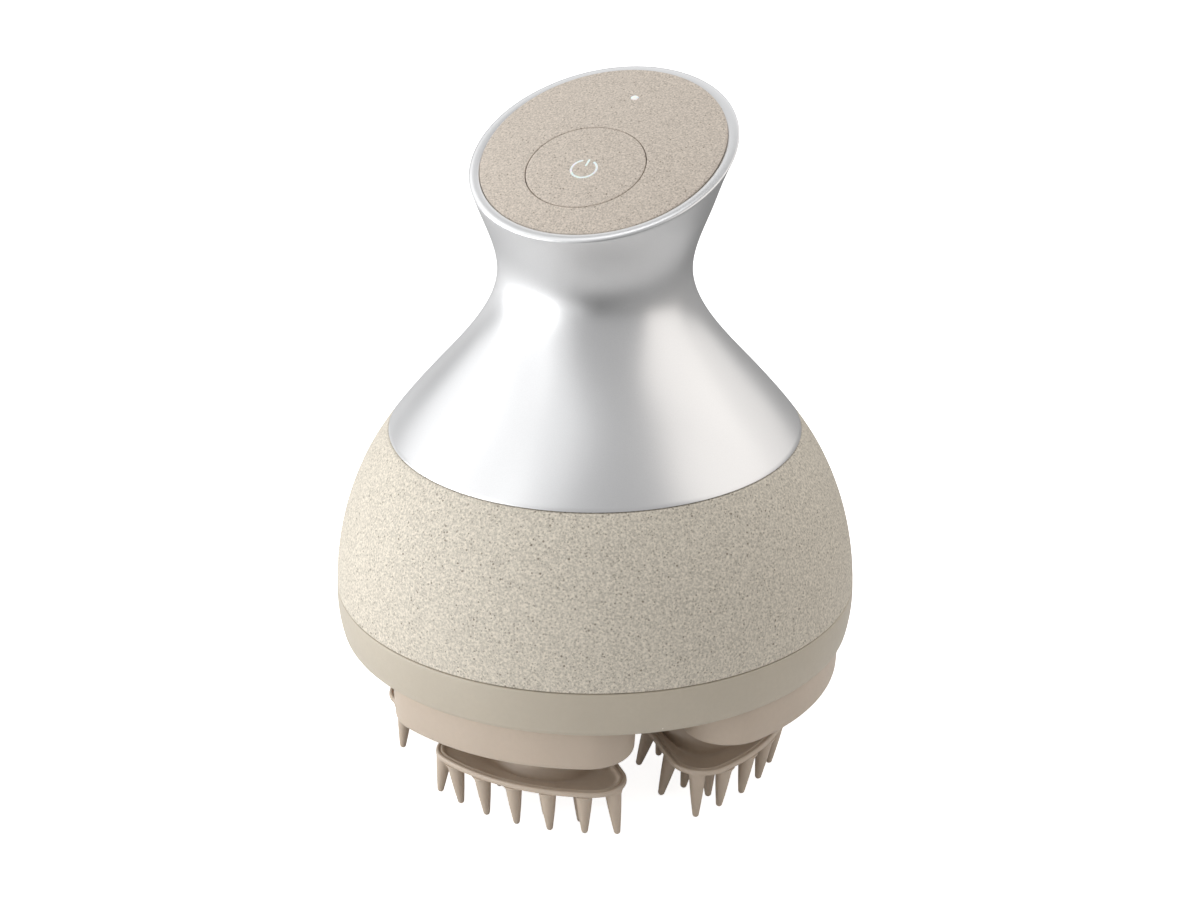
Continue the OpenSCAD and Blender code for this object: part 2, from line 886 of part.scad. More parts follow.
// Tooth positions in a head's own frame: distance from the body axis, distance
// across, then how far the tip leans along each
ARC_PITCH = 10.45;
ARC_R = 37;
ARC_LEAN = -0.9;
ARC_TEETH = [for (i = [-2 : 2])
    let (a = i * ARC_PITCH)
    [ARC_R * cos(a), ARC_R * sin(a), ARC_LEAN * cos(a), ARC_LEAN * sin(a)]];
SIDE_TEETH = [[31.2, 17.3, 0.2, 1.1],
              [23.8, 12.1, -1.6, 1.6],
              [15.6, 3.3, -2.1, 1.7],
              [30.3, 10.3, 0, 0],
              [31, 3.5, 0, 0],
              [25.6, 8.1, -0.8, 1.2]];
CENTRE_TEETH = [[16.4, 0, -1.1, 0]];
OTHER_SIDE_TEETH = [for (t = SIDE_TEETH) [t[0], -t[1], t[2], -t[3]]];
CLAW_TEETH = concat(ARC_TEETH, SIDE_TEETH, OTHER_SIDE_TEETH, CENTRE_TEETH);

module tooth(t) {
    length = tooth_root_z - tooth_tip_r;
    lean = norm([t[2], t[3]]);
    translate([t[0], t[1], tooth_root_z])
        rotate([0, 0, atan2(t[3], t[2])])
            rotate([0, 180 - atan2(lean, length), 0]) {
                reach = norm([lean, length]);
                cylinder(r1 = tooth_base_r, r2 = tooth_tip_r, h = reach, $fn = 32);
                translate([0, 0, reach])
                    sphere(r = tooth_tip_r, $fn = 32);
            }
}

module claw(a) color([0.67, 0.62, 0.56])
    at_pin(a)
        translate([-crank_axis_r, 0, 0])
            difference() {
                union() {
                    inset_sector(claw_r, claw_gap, claw_corner, bowl_inset, bowl_z, bowl_floor_t);
                    difference() {
                        sector(claw_r, claw_gap, claw_corner, rim_z, rim_h);
                        inset_sector(claw_r, claw_gap, claw_corner, rim_t, rim_z - past, rim_h + 2 * past);
                    }
                    translate([crank_axis_r, 0, bowl_z])
                        cylinder(r = claw_neck_r, h = claw_neck_z - bowl_z);
                    for (t = CLAW_TEETH)
                        tooth(t);
                }
                translate([crank_axis_r, 0, carrier_bottom_z])
                    cylinder(r = carrier_r, h = claw_neck_z);
            }

module case_screws() color([0.75, 0.75, 0.75])
    on_diagonals(case_screw_axis_r)
        translate([0, 0, plate_z + screw_gap]) {
            cylinder(r = case_screw_head_r, h = case_screw_head_t);
            cylinder(r = case_screw_r, h = case_screw_len);
        }

module cover_screws() color([0.75, 0.75, 0.75])
    on_diagonals(post_xy * sqrt(2))
        translate([0, 0, cover_top_z]) {
            cylinder(r = cover_screw_head_r, h = cover_screw_head_t);
            translate([0, 0, -cover_t - cover_screw_depth])
                cylinder(r = cover_screw_r, h = cover_t + cover_screw_depth);
        }

// Charging recess, in a frame whose z axis points out of the belly's back

module on_socket() {
    translate([0, body_r(socket_z), socket_z])
        rotate([socket_tilt - 90, 0, 0])
            children();
}

// Places on either side of the recess's centre, at a depth under the belly's surface
module beside_socket(x, depth) {
    on_socket()
        for (side = [-1, 1])
            translate([side * x, 0, -depth])
                children();
}

module charge_socket() color([0.20, 0.20, 0.21])
    difference() {
        on_socket()
            translate([0, 0, -socket_back])
                cylinder(r = socket_r - running_gap, h = socket_back - socket_face);
        on_socket()
            translate([0, 0, -socket_face - recess_depth])
                cylinder(r = recess_r, h = recess_depth + past);
        beside_socket(contact_x, socket_back + past)
            cylinder(r = contact_r, h = socket_back);
        beside_socket(magnet_x, socket_back + past)
            cylinder(r = magnet_r, h = magnet_t + past);
    }

module charge_contacts() color([0.85, 0.68, 0.30])
    beside_socket(contact_x, socket_back + contact_tail)
        cylinder(r = contact_r, h = socket_back + contact_tail - socket_face - recess_depth);

module charge_magnets() color([0.70, 0.70, 0.72])
    beside_socket(magnet_x, socket_back)
        cylinder(r = magnet_r, h = magnet_t);

// Named parts of each head. Contact lines of the ring of gears lie on the
// diagonals, and a tooth of one gear faces a gap of the next.

module crank_gear_front() crank_gear(FRONT, 45);
module crank_gear_right() crank_gear(RIGHT, 135);
module crank_gear_back() crank_gear(BACK, 225);
module crank_gear_left() crank_gear(LEFT, 315);
module crank_pin_front() crank_pin(FRONT);
module crank_pin_right() crank_pin(RIGHT);
module crank_pin_back() crank_pin(BACK);
module crank_pin_left() crank_pin(LEFT);
module pin_clip_front() pin_clip(FRONT);
module pin_clip_right() pin_clip(RIGHT);
module pin_clip_back() pin_clip(BACK);
module pin_clip_left() pin_clip(LEFT);
module carrier_front() carrier(FRONT);
module carrier_right() carrier(RIGHT);
module carrier_back() carrier(BACK);
module carrier_left() carrier(LEFT);
module seal_disc_front() seal_disc(FRONT);
module seal_disc_right() seal_disc(RIGHT);
module seal_disc_back() seal_disc(BACK);
module seal_disc_left() seal_disc(LEFT);
module boot_front() boot(FRONT);
module boot_right() boot(RIGHT);
module boot_back() boot(BACK);
module boot_left() boot(LEFT);
module claw_front() claw(FRONT);
module claw_right() claw(RIGHT);
module claw_back() claw(BACK);
module claw_left() claw(LEFT);

neck_shell();
belly_shell();
skirt_cover();
base_plate();
gearbox_cover();
body_o_ring();
top_panel();
power_button();
switch_plunger();
tact_switch();
button_board();
board_screws();
status_lens();
status_led();
flex_cable();
core_frame();
frame_screws();
battery_cell();
main_board();
motor();
motor_leads();
motor_pinion();
idler_gear();
idler_axle();
crank_bushings();
case_screws();
cover_screws();
charge_socket();
charge_contacts();
charge_magnets();
crank_gear_front();
crank_gear_right();
crank_gear_back();
crank_gear_left();
crank_pin_front();
crank_pin_right();
crank_pin_back();
crank_pin_left();
pin_clip_front();
pin_clip_right();
pin_clip_back();
pin_clip_left();
carrier_front();
carrier_right();
carrier_back();
carrier_left();
seal_disc_front();
seal_disc_right();
seal_disc_back();
seal_disc_left();
boot_front();
boot_right();
boot_back();
boot_left();
claw_front();
claw_right();
claw_back();
claw_left();
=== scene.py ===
"""Looks of a palm-size scalp massager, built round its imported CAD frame.

Lengths are in millimetres until a mesh is made, which is in metres like the frame.
+Z is up, the origin is on the body axis in the plane of the tooth tips, and -Y is the front.
"""
import json
import math

import bmesh
import bpy
import numpy as np
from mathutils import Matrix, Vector


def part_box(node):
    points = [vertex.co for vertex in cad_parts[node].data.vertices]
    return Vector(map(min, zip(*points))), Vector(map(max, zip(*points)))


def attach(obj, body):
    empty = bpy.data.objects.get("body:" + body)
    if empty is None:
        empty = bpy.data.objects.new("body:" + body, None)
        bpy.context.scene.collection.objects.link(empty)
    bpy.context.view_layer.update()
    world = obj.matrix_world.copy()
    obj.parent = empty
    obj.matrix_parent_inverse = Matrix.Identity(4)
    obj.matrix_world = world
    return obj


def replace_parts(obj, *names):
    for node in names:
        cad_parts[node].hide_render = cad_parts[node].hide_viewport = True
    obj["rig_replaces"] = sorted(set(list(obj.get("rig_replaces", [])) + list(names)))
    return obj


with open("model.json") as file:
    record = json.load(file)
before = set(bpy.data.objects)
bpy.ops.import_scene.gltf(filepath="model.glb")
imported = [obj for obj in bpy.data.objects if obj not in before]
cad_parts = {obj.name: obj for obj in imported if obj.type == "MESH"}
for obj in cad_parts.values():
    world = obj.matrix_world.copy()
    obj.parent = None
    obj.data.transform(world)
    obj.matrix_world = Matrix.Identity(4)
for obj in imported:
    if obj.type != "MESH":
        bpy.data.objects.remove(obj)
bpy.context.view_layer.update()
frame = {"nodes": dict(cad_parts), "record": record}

MM = 0.001


# ---------------- sizes from the frame

def box_mm(node):
    low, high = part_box(node)
    return np.array(low) / MM, np.array(high) / MM


EDGE_Z = box_mm("skirt_cover")[0][2]
SKIRT_Z = box_mm("belly_shell")[0][2]
NECK_Z = box_mm("neck_shell")[0][2]
BOOT_Z = box_mm("boot_front")[0][2]
SOCKET_R = (box_mm("charge_socket")[1][0] - box_mm("charge_socket")[0][0]) / 2
CARRIER_Z = box_mm("carrier_front")[0][2]
JOINTS = {joint["name"]: joint for joint in frame["record"]["behaviour"]["joints"]}

# Outline of the body: height, radius and slope at each knot
BELLY_R = 49.0
WAIST_R = 18.0
KNOTS = np.array([
    (EDGE_Z, BELLY_R - 1.2, 0.3),
    (33.0, BELLY_R, 0.0),
    (57.0, BELLY_R - 5.24, -0.4725),
    (77.0, WAIST_R + 11.23, -0.876),
    (97.2, WAIST_R, 0.0),
    (109.0, WAIST_R + 3.25, 0.4),
    (117.0, WAIST_R + 6.25, 0.43),
    (130.0, WAIST_R + 13.9, 0.7),
])
BELLY_WALL = 2.4
NECK_WALL = 2.0
SKIRT_WALL = 2.1
SKIRT_FLOOR_T = 1.4
SKIRT_HOLE_R = 11.0
SEAM = 0.15
SPIGOT_H = 3.8

# Slanted top
TOP_Z = 117.5
TILT = math.radians(17.8)
CROWN_H = 2.4
PANEL_EDGE_H = 0.06
PANEL_EDGE_RISE = 0.44
BUTTON_R = 11.0
BUTTON_GAP = 0.14
BUTTON_S = -3.6
PANEL_GAP = 0.12
PANEL_T = 2.0
LIGHT_S = 18.2
LIGHT_R = 0.75

# Heads: outward direction of each, then outer radius, distance from a side to the
# diagonal between two heads, and corner radius of the boots and of the claws
HEADS = {"front": -90.0, "right": 0.0, "back": 90.0, "left": 180.0}
CRANK_AXIS_R = 17.0 * math.sqrt(2.0)
BOOT = (46.5, 4.8, 9.0)
BOOT_HOLE_R = 8.5
CLAW = (39.0, 6.0, 6.2)
CLAW_LOW_Z = 9.0
CLAW_RIM_T = 1.45
CLAW_FLOOR_Z = 8.1
CLAW_UNDER_Z = 7.0
NECK_R = 7.2
NECK_TOP_Z = 16.2
CARRIER_R = 5.6

# Teeth
TOOTH_BASE_R = 1.62
TOOTH_TIP_R = 0.63
RIM_TOOTH_Z = CLAW_LOW_Z + 0.15
INNER_TOOTH_Z = CLAW_FLOOR_Z - 0.1

# Charging recess: height on the belly's back and upward lean of its axis, then the recess,
# its contacts and its magnets. Depths are counted outwards from the belly's surface.
SOCKET_Z = 47.0
SOCKET_LEAN = math.radians(12.4)
RECESS_R = 6.0
RECESS_DEPTH = 1.5
SOCKET_FACE = -0.75
SOCKET_BACK = -5.0
CONTACT_X, CONTACT_R = 1.9, 0.9
CONTACT_BACK = -5.6
MAGNET_X, MAGNET_R = 4.5, 1.2

# Mesh fineness: points round the body, in degrees the edge angle above which shading breaks,
# and the edge round of the inner parts
BODY_STEPS = 288
SHARP_ANGLE = 35.0
BOOT_SHARP_ANGLE = 40.0
CLAW_SHARP_ANGLE = 50.0
INNER_ROUND = 0.15


# ---------------- outline of the body

def body_r(z):
    """Radius of the body's surface at height z, by cubic pieces between the knots."""
    z = np.asarray(z, float)
    i = np.clip(np.searchsorted(KNOTS[:, 0], z, side="right") - 1, 0, len(KNOTS) - 2)
    z0, r0, m0 = KNOTS[i].T if z.ndim else KNOTS[i]
    z1, r1, m1 = KNOTS[i + 1].T if z.ndim else KNOTS[i + 1]
    h = z1 - z0
    t = (z - z0) / h
    return (r0 * (2 * t**3 - 3 * t**2 + 1) + m0 * h * (t**3 - 2 * t**2 + t)
            + r1 * (3 * t**2 - 2 * t**3) + m1 * h * (t**3 - t**2))


def body_slope(z):
    step = 0.01
    return (body_r(np.asarray(z) + step) - body_r(np.asarray(z) - step)) / (2 * step)


def inside_r(z, depth):
    """Radius of the surface that lies the given depth under the body's surface."""
    return body_r(z) - depth * np.sqrt(1 + body_slope(z) ** 2)


# ---------------- mesh making

def new_object(name, verts, faces, sharp_angle=SHARP_ANGLE):
    mesh = bpy.data.meshes.new(name)
    mesh.from_pydata((np.asarray(verts) * MM).tolist(), [], [tuple(f) for f in faces])
    mesh.validate()
    obj = bpy.data.objects.new(name, mesh)
    bpy.context.scene.collection.objects.link(obj)
    bm = bmesh.new()
    bm.from_mesh(mesh)
    bmesh.ops.remove_doubles(bm, verts=bm.verts, dist=1e-7)
    bmesh.ops.recalc_face_normals(bm, faces=bm.faces)
    bm.to_mesh(mesh)
    bm.free()
    shade(obj, sharp_angle)
    return obj


def shade(obj, sharp_angle=SHARP_ANGLE):
    mesh = obj.data
    mesh.polygons.foreach_set("use_smooth", [True] * len(mesh.polygons))
    mesh.set_sharp_from_angle(angle=math.radians(sharp_angle))
    mesh.update()


def coat(obj, slot):
    obj.data.materials.clear()
    obj.data.materials.append(FINISHES[slot])


def hand_over(obj, body, slot, node=None):
    """Rides obj on a body, gives it a slot's finish and lets it replace a CAD node."""
    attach(obj, body)
    if node:
        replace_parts(obj, node)
    coat(obj, slot)
    return obj


def loft(rings, wrap=False, cap_start=None, cap_end=None):
    """Quads between successive closed rings. wrap joins the last ring to the first.
    cap_start and cap_end are points that close the first and the last ring with a fan."""
    n = len(rings[0])
    verts = [p for ring in rings for p in ring]
    faces = []
    pairs = list(zip(range(len(rings) - 1), range(1, len(rings))))
    if wrap:
        pairs.append((len(rings) - 1, 0))
    for a, b in pairs:
        for i in range(n):
            j = (i + 1) % n
            faces.append((a * n + i, a * n + j, b * n + j, b * n + i))
    for point, ring in ((cap_start, 0), (cap_end, len(rings) - 1)):
        if point is not None:
            verts.append(point)
            k = len(verts) - 1
            faces += [(ring * n + i, ring * n + (i + 1) % n, k) for i in range(n)]
    return verts, faces


def merge(parts):
    """Joins (verts, faces) parts into one."""
    verts, faces = [], []
    for v, f in parts:
        base = len(verts)
        verts += list(v)
        faces += [tuple(i + base for i in face) for face in f]
    return verts, faces


def angles(n):
    return np.linspace(0, 2 * math.pi, n, endpoint=False)


def pointing(degrees):
    """Unit vector in the level plane."""
    return np.array([math.cos(math.radians(degrees)), math.sin(math.radians(degrees))])


def revolve_rings(section, n=256):
    """Rings of a solid of revolution from (radius, height) points."""
    a = angles(n)
    return [np.c_[r * np.cos(a), r * np.sin(a), np.full(n, z)] for r, z in section]


def bezier(t, p0, p1, p2, p3):
    return (1 - t) ** 3 * p0 + 3 * (1 - t) ** 2 * t * p1 + 3 * (1 - t) * t**2 * p2 + t**3 * p3


def round_corner(p0, corner, p1, r, steps=6):
    """Points of a round of radius about r that replaces a corner."""
    pull = 0.55
    p0, corner, p1 = (np.asarray(p, float) for p in (p0, corner, p1))
    a = corner + (p0 - corner) / np.linalg.norm(p0 - corner) * r
    b = corner + (p1 - corner) / np.linalg.norm(p1 - corner) * r
    t = np.linspace(0, 1, steps + 1)[:, None]
    return bezier(t, a, a + (corner - a) * pull, b + (corner - b) * pull, b).tolist()


def quarter_round(r, n):
    """Steps over an edge round of radius r: distances to the face ahead and from the face behind."""
    return [(r * (1 - math.sin(q)), r * (1 - math.cos(q))) for q in np.linspace(0, math.pi / 2, n)]


def discard(obj):
    data = obj.data
    bpy.data.objects.remove(obj)
    bpy.data.meshes.remove(data)


def cut(obj, cutters):
    """Takes the cutters' solids out of obj and deletes them."""
    for cutter in cutters:
        modifier = obj.modifiers.new("cut", "BOOLEAN")
        modifier.operation = "DIFFERENCE"
        modifier.solver = "EXACT"
        modifier.object = cutter
        apply_modifiers(obj)
        discard(cutter)


def apply_modifiers(obj):
    graph = bpy.context.evaluated_depsgraph_get()
    mesh = bpy.data.meshes.new_from_object(obj.evaluated_get(graph))
    old = obj.data
    obj.modifiers.clear()
    obj.data = mesh
    bpy.data.meshes.remove(old)


def along_axis(verts, origin, axis):
    """Moves points made about +Z from the origin to an axis that starts at another point."""
    turn = Vector((0, 0, 1)).rotation_difference(Vector(axis))
    return [np.array(turn @ Vector(v)) + np.asarray(origin) for v in verts]


def cylinder_cutter(r, length, origin, axis, flare=0.0, flare_at=0.0, n=128):
    """Cylinder along axis from origin. With flare, it widens by that much at flare_at."""
    section = [(r, 0.0)]
    if flare:
        section += [(r, flare_at - flare), (r + 2 * flare, flare_at + flare)]
        section += [(r + 2 * flare, length)]
    else:
        section += [(r, length)]
    verts, faces = loft(revolve_rings(section, n), cap_start=(0, 0, 0), cap_end=(0, 0, length))
    return new_object("cutter", along_axis(verts, origin, axis), faces)


# ---------------- slanted top frame

UP_SLOPE = np.array([0.0, math.cos(TILT), math.sin(TILT)])
TOP_NORMAL = np.array([0.0, -math.sin(TILT), math.cos(TILT)])
TOP_ORIGIN = np.array([0.0, 0.0, TOP_Z])


def on_top(x, s, h):
    """Points from across, uphill and out-of-panel coordinates."""
    x, s, h = np.broadcast_arrays(np.asarray(x, float), s, h)
    return (TOP_ORIGIN + x[..., None] * np.array([1.0, 0, 0])
            + s[..., None] * UP_SLOPE + h[..., None] * TOP_NORMAL)


def crown(x, s):
    """Height of the panel's crown. Its edge lies level with the rim in front and proud of it behind."""
    half_x, half_s, mid_s = PANEL_OVAL
    along = (s - mid_s) / half_s
    edge_h = PANEL_EDGE_H + PANEL_EDGE_RISE * along
    return CROWN_H - (CROWN_H - edge_h) * ((x / half_x) ** 2 + along**2)


def top_ring(a, rho, level, crowned=True):
    """Ring about the button centre, level above the crown or above the flat slanted plane."""
    x, s = rho * np.cos(a), BUTTON_S + rho * np.sin(a)
    return on_top(x, s, level + (crown(x, s) if crowned else 0.0))


def panel_edge(a, depth, level, crowned):
    """Distance from the button centre, in each direction a, to the surface at that depth."""
    outside, halvings = 40.0, 40
    low = np.full(a.shape, BUTTON_R)
    high = np.full(a.shape, outside)
    for _ in range(halvings):
        mid = (low + high) / 2
        p = top_ring(a, mid, level, crowned)
        inside = np.hypot(p[:, 0], p[:, 1]) < inside_r(p[:, 2], depth)
        low = np.where(inside, mid, low)
        high = np.where(inside, high, mid)
    return low


def panel_oval():
    """Half width, half length and middle of the panel's edge in the slanted plane."""
    a = angles(360)
    rho = panel_edge(a, NECK_WALL + PANEL_GAP, PANEL_EDGE_H, False)
    s = BUTTON_S + rho * np.sin(a)
    return (rho * np.cos(a)).max(), (s.max() - s.min()) / 2, (s.max() + s.min()) / 2


PANEL_OVAL = panel_oval()


# ---------------- outer shells

def outline_section(z0, z1, depth, n):
    z = np.linspace(z0, z1, n)
    return np.c_[inside_r(z, depth), z]


def neck_shell():
    """Satin shell from the belly joint to the slanted rim, which is rounded over."""
    outer_levels, lip_levels, inner_levels = 84, 15, 30
    lip_out, lip_in = 0.85, 0.5
    edge = 0.22
    z0 = NECK_Z
    a = angles(BODY_STEPS)

    def plane_height(depth):
        """Height at which the slanted plane meets the surface at that depth."""
        z = np.full(BODY_STEPS, TOP_Z)
        for _ in range(60):
            z = TOP_Z + math.tan(TILT) * inside_r(z, depth) * np.sin(a)
        return z

    z_out, z_in = plane_height(0.0), plane_height(NECK_WALL)
    r_out, r_in = inside_r(z_out, 0.0), inside_r(z_in, NECK_WALL)
    lip0 = z_out - lip_out / np.sqrt(1 + body_slope(z_out) ** 2)
    lip1 = z_in - lip_in / np.sqrt(1 + body_slope(z_in) ** 2)
    rows = [(inside_r(z, depth) + 0 * a, z + 0 * a) for z, depth in
            ((z0, NECK_WALL - edge), (z0, edge), (z0 + 0.3 * edge, 0.3 * edge))]
    for t in np.linspace(0, 1, outer_levels):
        z = (z0 + edge) * (1 - t) + lip0 * t
        rows.append((body_r(z), z))
    b0 = np.stack([body_r(lip0), lip0])
    b1 = np.stack([r_out, z_out])
    b2 = np.stack([r_in, z_in])
    b3 = np.stack([inside_r(lip1, NECK_WALL), lip1])
    # The handles of the lip's curve lie close to the two corners that it rounds over
    pull_out = b1 + (b0 - b1) * 0.022 + (b2 - b1) * 0.002
    pull_in = b2 + (b3 - b2) * 0.05
    rows += [tuple(bezier(t, b0, pull_out, pull_in, b3)) for t in np.linspace(0, 1, lip_levels)[1:]]
    for t in np.linspace(0, 1, inner_levels)[1:]:
        z = lip1 * (1 - t) + (z0 + edge) * t
        rows.append((inside_r(z, NECK_WALL), z))
    rings = [np.c_[r * np.cos(a), r * np.sin(a), z] for r, z in rows]
    verts, faces = loft(rings, wrap=True)
    return hand_over(new_object("neck_shell_satin", verts, faces), "housing", "satin_silver", "neck_shell")


def belly_shell():
    """Speckled shell with its joint spigot, cut by the charging recess."""
    edge = 0.3
    top = NECK_Z - SEAM
    spigot_top = NECK_Z + SPIGOT_H
    spigot_out, spigot_in = NECK_WALL + SEAM, NECK_WALL + 1.75
    section = [(inside_r(SKIRT_Z, BELLY_WALL), SKIRT_Z)]
    section += round_corner((inside_r(SKIRT_Z, 1.0), SKIRT_Z), (body_r(SKIRT_Z), SKIRT_Z),
                            (body_r(SKIRT_Z + 1), SKIRT_Z + 1), edge)
    section += outline_section(SKIRT_Z + 2 * edge, top - 2 * edge, 0.0, 60).tolist()
    section += round_corner((body_r(top - 1), top - 1), (body_r(top), top), (inside_r(top, 1.0), top), edge)
    section += [(inside_r(top, spigot_out), top)]
    section += outline_section(top + 0.3, spigot_top, spigot_out, 8).tolist()
    spigot_steps = 4
    section += outline_section(spigot_top, SKIRT_Z + 0.5, spigot_in, 40)[:spigot_steps].tolist()
    section += outline_section(NECK_Z - 3, SKIRT_Z + 0.4, BELLY_WALL, 40).tolist()
    verts, faces = loft(revolve_rings(section, BODY_STEPS), wrap=True)
    obj = new_object("belly_shell_speckled", verts, faces)
    origin, axis = socket_frame()
    reach = 8.0
    cut(obj, [cylinder_cutter(SOCKET_R + 0.03, reach + 4, origin - reach * axis, axis, 0.25, reach)])
    shade(obj)
    return hand_over(obj, "housing", "speckled_shell", "belly_shell")


def socket_frame():
    """Centre of the charging recess on the belly's back, and the way it faces."""
    origin = np.array([0.0, float(body_r(SOCKET_Z)), SOCKET_Z])
    return origin, np.array([0.0, math.cos(SOCKET_LEAN), math.sin(SOCKET_LEAN)])


def skirt_cover():
    """Silicone band and floor, one moulding with a soft lower edge."""
    top = SKIRT_Z - SEAM
    floor_z = EDGE_Z + SKIRT_FLOOR_T
    round_r = 1.3
    floor_radii = (44.0, 40.0, 34.0, 26.0, 16.0, 8.0, 3.0)
    section = [(inside_r(top, SKIRT_WALL), top)]
    section += round_corner((inside_r(top, 1.0), top), (body_r(top), top), (body_r(top - 1), top - 1), 0.35)
    section += outline_section(top - 0.8, EDGE_Z + round_r + 0.1, 0.0, 14).tolist()
    section += round_corner((body_r(EDGE_Z + 1.4), EDGE_Z + 1.4), (body_r(EDGE_Z), EDGE_Z),
                            (body_r(EDGE_Z) - 3, EDGE_Z), round_r, 10)
    section += [(r, EDGE_Z) for r in floor_radii]
    inner = [(r, floor_z) for r in floor_radii[::-1]]
    inner += [(inside_r(floor_z, SKIRT_WALL) - 0.6, floor_z)]
    inner += outline_section(floor_z + 0.5, top - 0.3, SKIRT_WALL, 8).tolist()
    n = BODY_STEPS
    outside = loft(revolve_rings(section, n), cap_end=(0, 0, EDGE_Z))
    inside = loft(revolve_rings(inner, n), cap_start=(0, 0, floor_z))
    verts, faces = merge([outside, inside])
    last = (len(inner) - 1) * n + len(outside[0])
    faces += [(i, last + i, last + (i + 1) % n, (i + 1) % n) for i in range(n)]
    obj = new_object("skirt_silicone", verts, faces)
    holes = []
    for direction in HEADS.values():
        at = (*(CRANK_AXIS_R * pointing(direction)), EDGE_Z - 2)
        holes.append(cylinder_cutter(SKIRT_HOLE_R, 6.0, at, (0, 0, 1)))
    cut(obj, holes)
    shade(obj)
    return hand_over(obj, "housing", "skirt_silicone", "skirt_cover")


# ---------------- slanted top

def top_panel():
    """Crowned panel with a round button hole and a light hole."""
    a = angles(BODY_STEPS)
    hole_r = BUTTON_R + BUTTON_GAP
    depth = NECK_WALL + PANEL_GAP
    edge = 0.2
    outer_top = panel_edge(a, depth, 0.0, True)
    outer_low = panel_edge(a, depth, -PANEL_T, False)
    rounds = quarter_round(edge, 6)
    rings = [top_ring(a, hole_r + into, -down) for down, into in rounds]
    for t in np.linspace(0, 1, 26)[1:-1]:
        rings.append(top_ring(a, hole_r + edge + (outer_top - hole_r - 2 * edge) * t, 0.0))
    rings += [top_ring(a, outer_top - into, -down) for into, down in rounds]
    high, low = rings[-1], top_ring(a, outer_low, -PANEL_T, False)
    rings += [high * (1 - t) + low * t for t in (0.35, 0.7, 1.0)]
    rings.append(top_ring(a, outer_low - 0.8, -PANEL_T, False))
    for t in (0.3, 0.6, 0.9):
        rings.append(top_ring(a, outer_low * (1 - t) + (hole_r + 0.4) * t, -PANEL_T, False))
    rings.append(top_ring(a, hole_r + 0.3, -PANEL_T, False))
    rings.append(top_ring(a, hole_r, -PANEL_T + 0.3, False))
    obj = new_object("top_panel_speckled", *loft(rings, wrap=True))
    reach = 6.0
    top_h = reach + float(crown(0.0, LIGHT_S))
    origin = on_top(0.0, LIGHT_S, -reach)
    cut(obj, [cylinder_cutter(LIGHT_R + 0.02, 2 * reach, origin, TOP_NORMAL, 0.06, top_h, n=64)])
    shade(obj)
    return hand_over(obj, "housing", "speckled_panel", "top_panel")


def power_button():
    """Round button whose face follows the crown of the panel."""
    a = angles(192)
    flange_top, flange_low = -2.2, -3.1
    flange_r = BUTTON_R + 1.3
    edge, flange_edge = 0.2, 0.15
    rings = [top_ring(a, r, 0.0) for r in (0.8, 2.0, 3.5, 5.0, 6.5, 8.0, 9.3, 10.2)]
    rings += [top_ring(a, BUTTON_R - into, -down) for into, down in quarter_round(edge, 7)]
    rings += [top_ring(a, r, h, False) for r, h in
              ((BUTTON_R, flange_top + 0.25), (BUTTON_R + 0.15, flange_top),
               (flange_r - flange_edge, flange_top), (flange_r, flange_top - flange_edge),
               (flange_r, flange_low + flange_edge), (flange_r - flange_edge, flange_low),
               (9.0, flange_low), (5.0, flange_low), (2.0, flange_low))]
    middle = on_top(0.0, BUTTON_S, crown(0.0, BUTTON_S))
    verts, faces = loft(rings, cap_start=middle, cap_end=on_top(0.0, BUTTON_S, flange_low))
    obj = new_object("power_button_speckled", verts, faces)
    return hand_over(obj, "button", "speckled_panel", "power_button")


def ribbon(path, width, height, lift):
    """Closed flat strip with round ends along (x, s) points on the crown, standing lift proud."""
    path = np.asarray(path, float)
    along = np.gradient(path, axis=0)
    along /= np.linalg.norm(along, axis=1)[:, None]
    across = np.c_[-along[:, 1], along[:, 0]]
    left = path + across * width / 2
    right = path - across * width / 2
    end_turns = np.linspace(0, math.pi, 9)[1:-1]

    def cap(centre, along_dir, across_dir, sign):
        return [centre + width / 2 * (math.cos(q) * across_dir * sign + math.sin(q) * along_dir * sign)
                for q in end_turns]

    outline = list(left) + cap(path[-1], along[-1], across[-1], 1)
    outline += list(right[::-1]) + cap(path[0], along[0], across[0], -1)
    x, s = np.array(outline).T
    ends = len(end_turns)
    k = len(path)
    n = len(outline)
    verts = [p for level in (lift, lift - height) for p in on_top(x, s, level + crown(x, s))]
    faces = [(i, (i + 1) % n, n + (i + 1) % n, n + i) for i in range(n)]
    for offset in (0, n):
        for i in range(k - 1):
            faces.append(tuple(v + offset for v in (i, i + 1, 2 * k + ends - 2 - i, 2 * k + ends - 1 - i)))
        faces.append(tuple(v + offset for v in range(k - 1, k + ends + 1)))
        faces.append(tuple(v + offset for v in [0] + list(range(2 * k + 2 * ends - 1, 2 * k + ends - 2, -1))))
    return verts, faces


def power_mark():
    """Generic on-off sign printed on the button: an open ring and a bar."""
    ring_r, line_w, line_t, proud, open_half = 2.36, 0.42, 0.06, 0.02, 30.0
    centre_x, centre_s = 0.3, BUTTON_S - 1.25
    bar_low, bar_high = 0.95, ring_r + 0.1
    a = np.radians(np.linspace(90 + open_half, 450 - open_half, 61))
    arc = np.c_[centre_x + ring_r * np.cos(a), centre_s + ring_r * np.sin(a)]
    bar = np.c_[np.full(6, centre_x), np.linspace(centre_s + bar_low, centre_s + bar_high, 6)]
    verts, faces = merge([ribbon(line, line_w, line_t, proud) for line in (arc, bar)])
    return hand_over(new_object("power_mark_white", verts, faces), "button", "light_window")


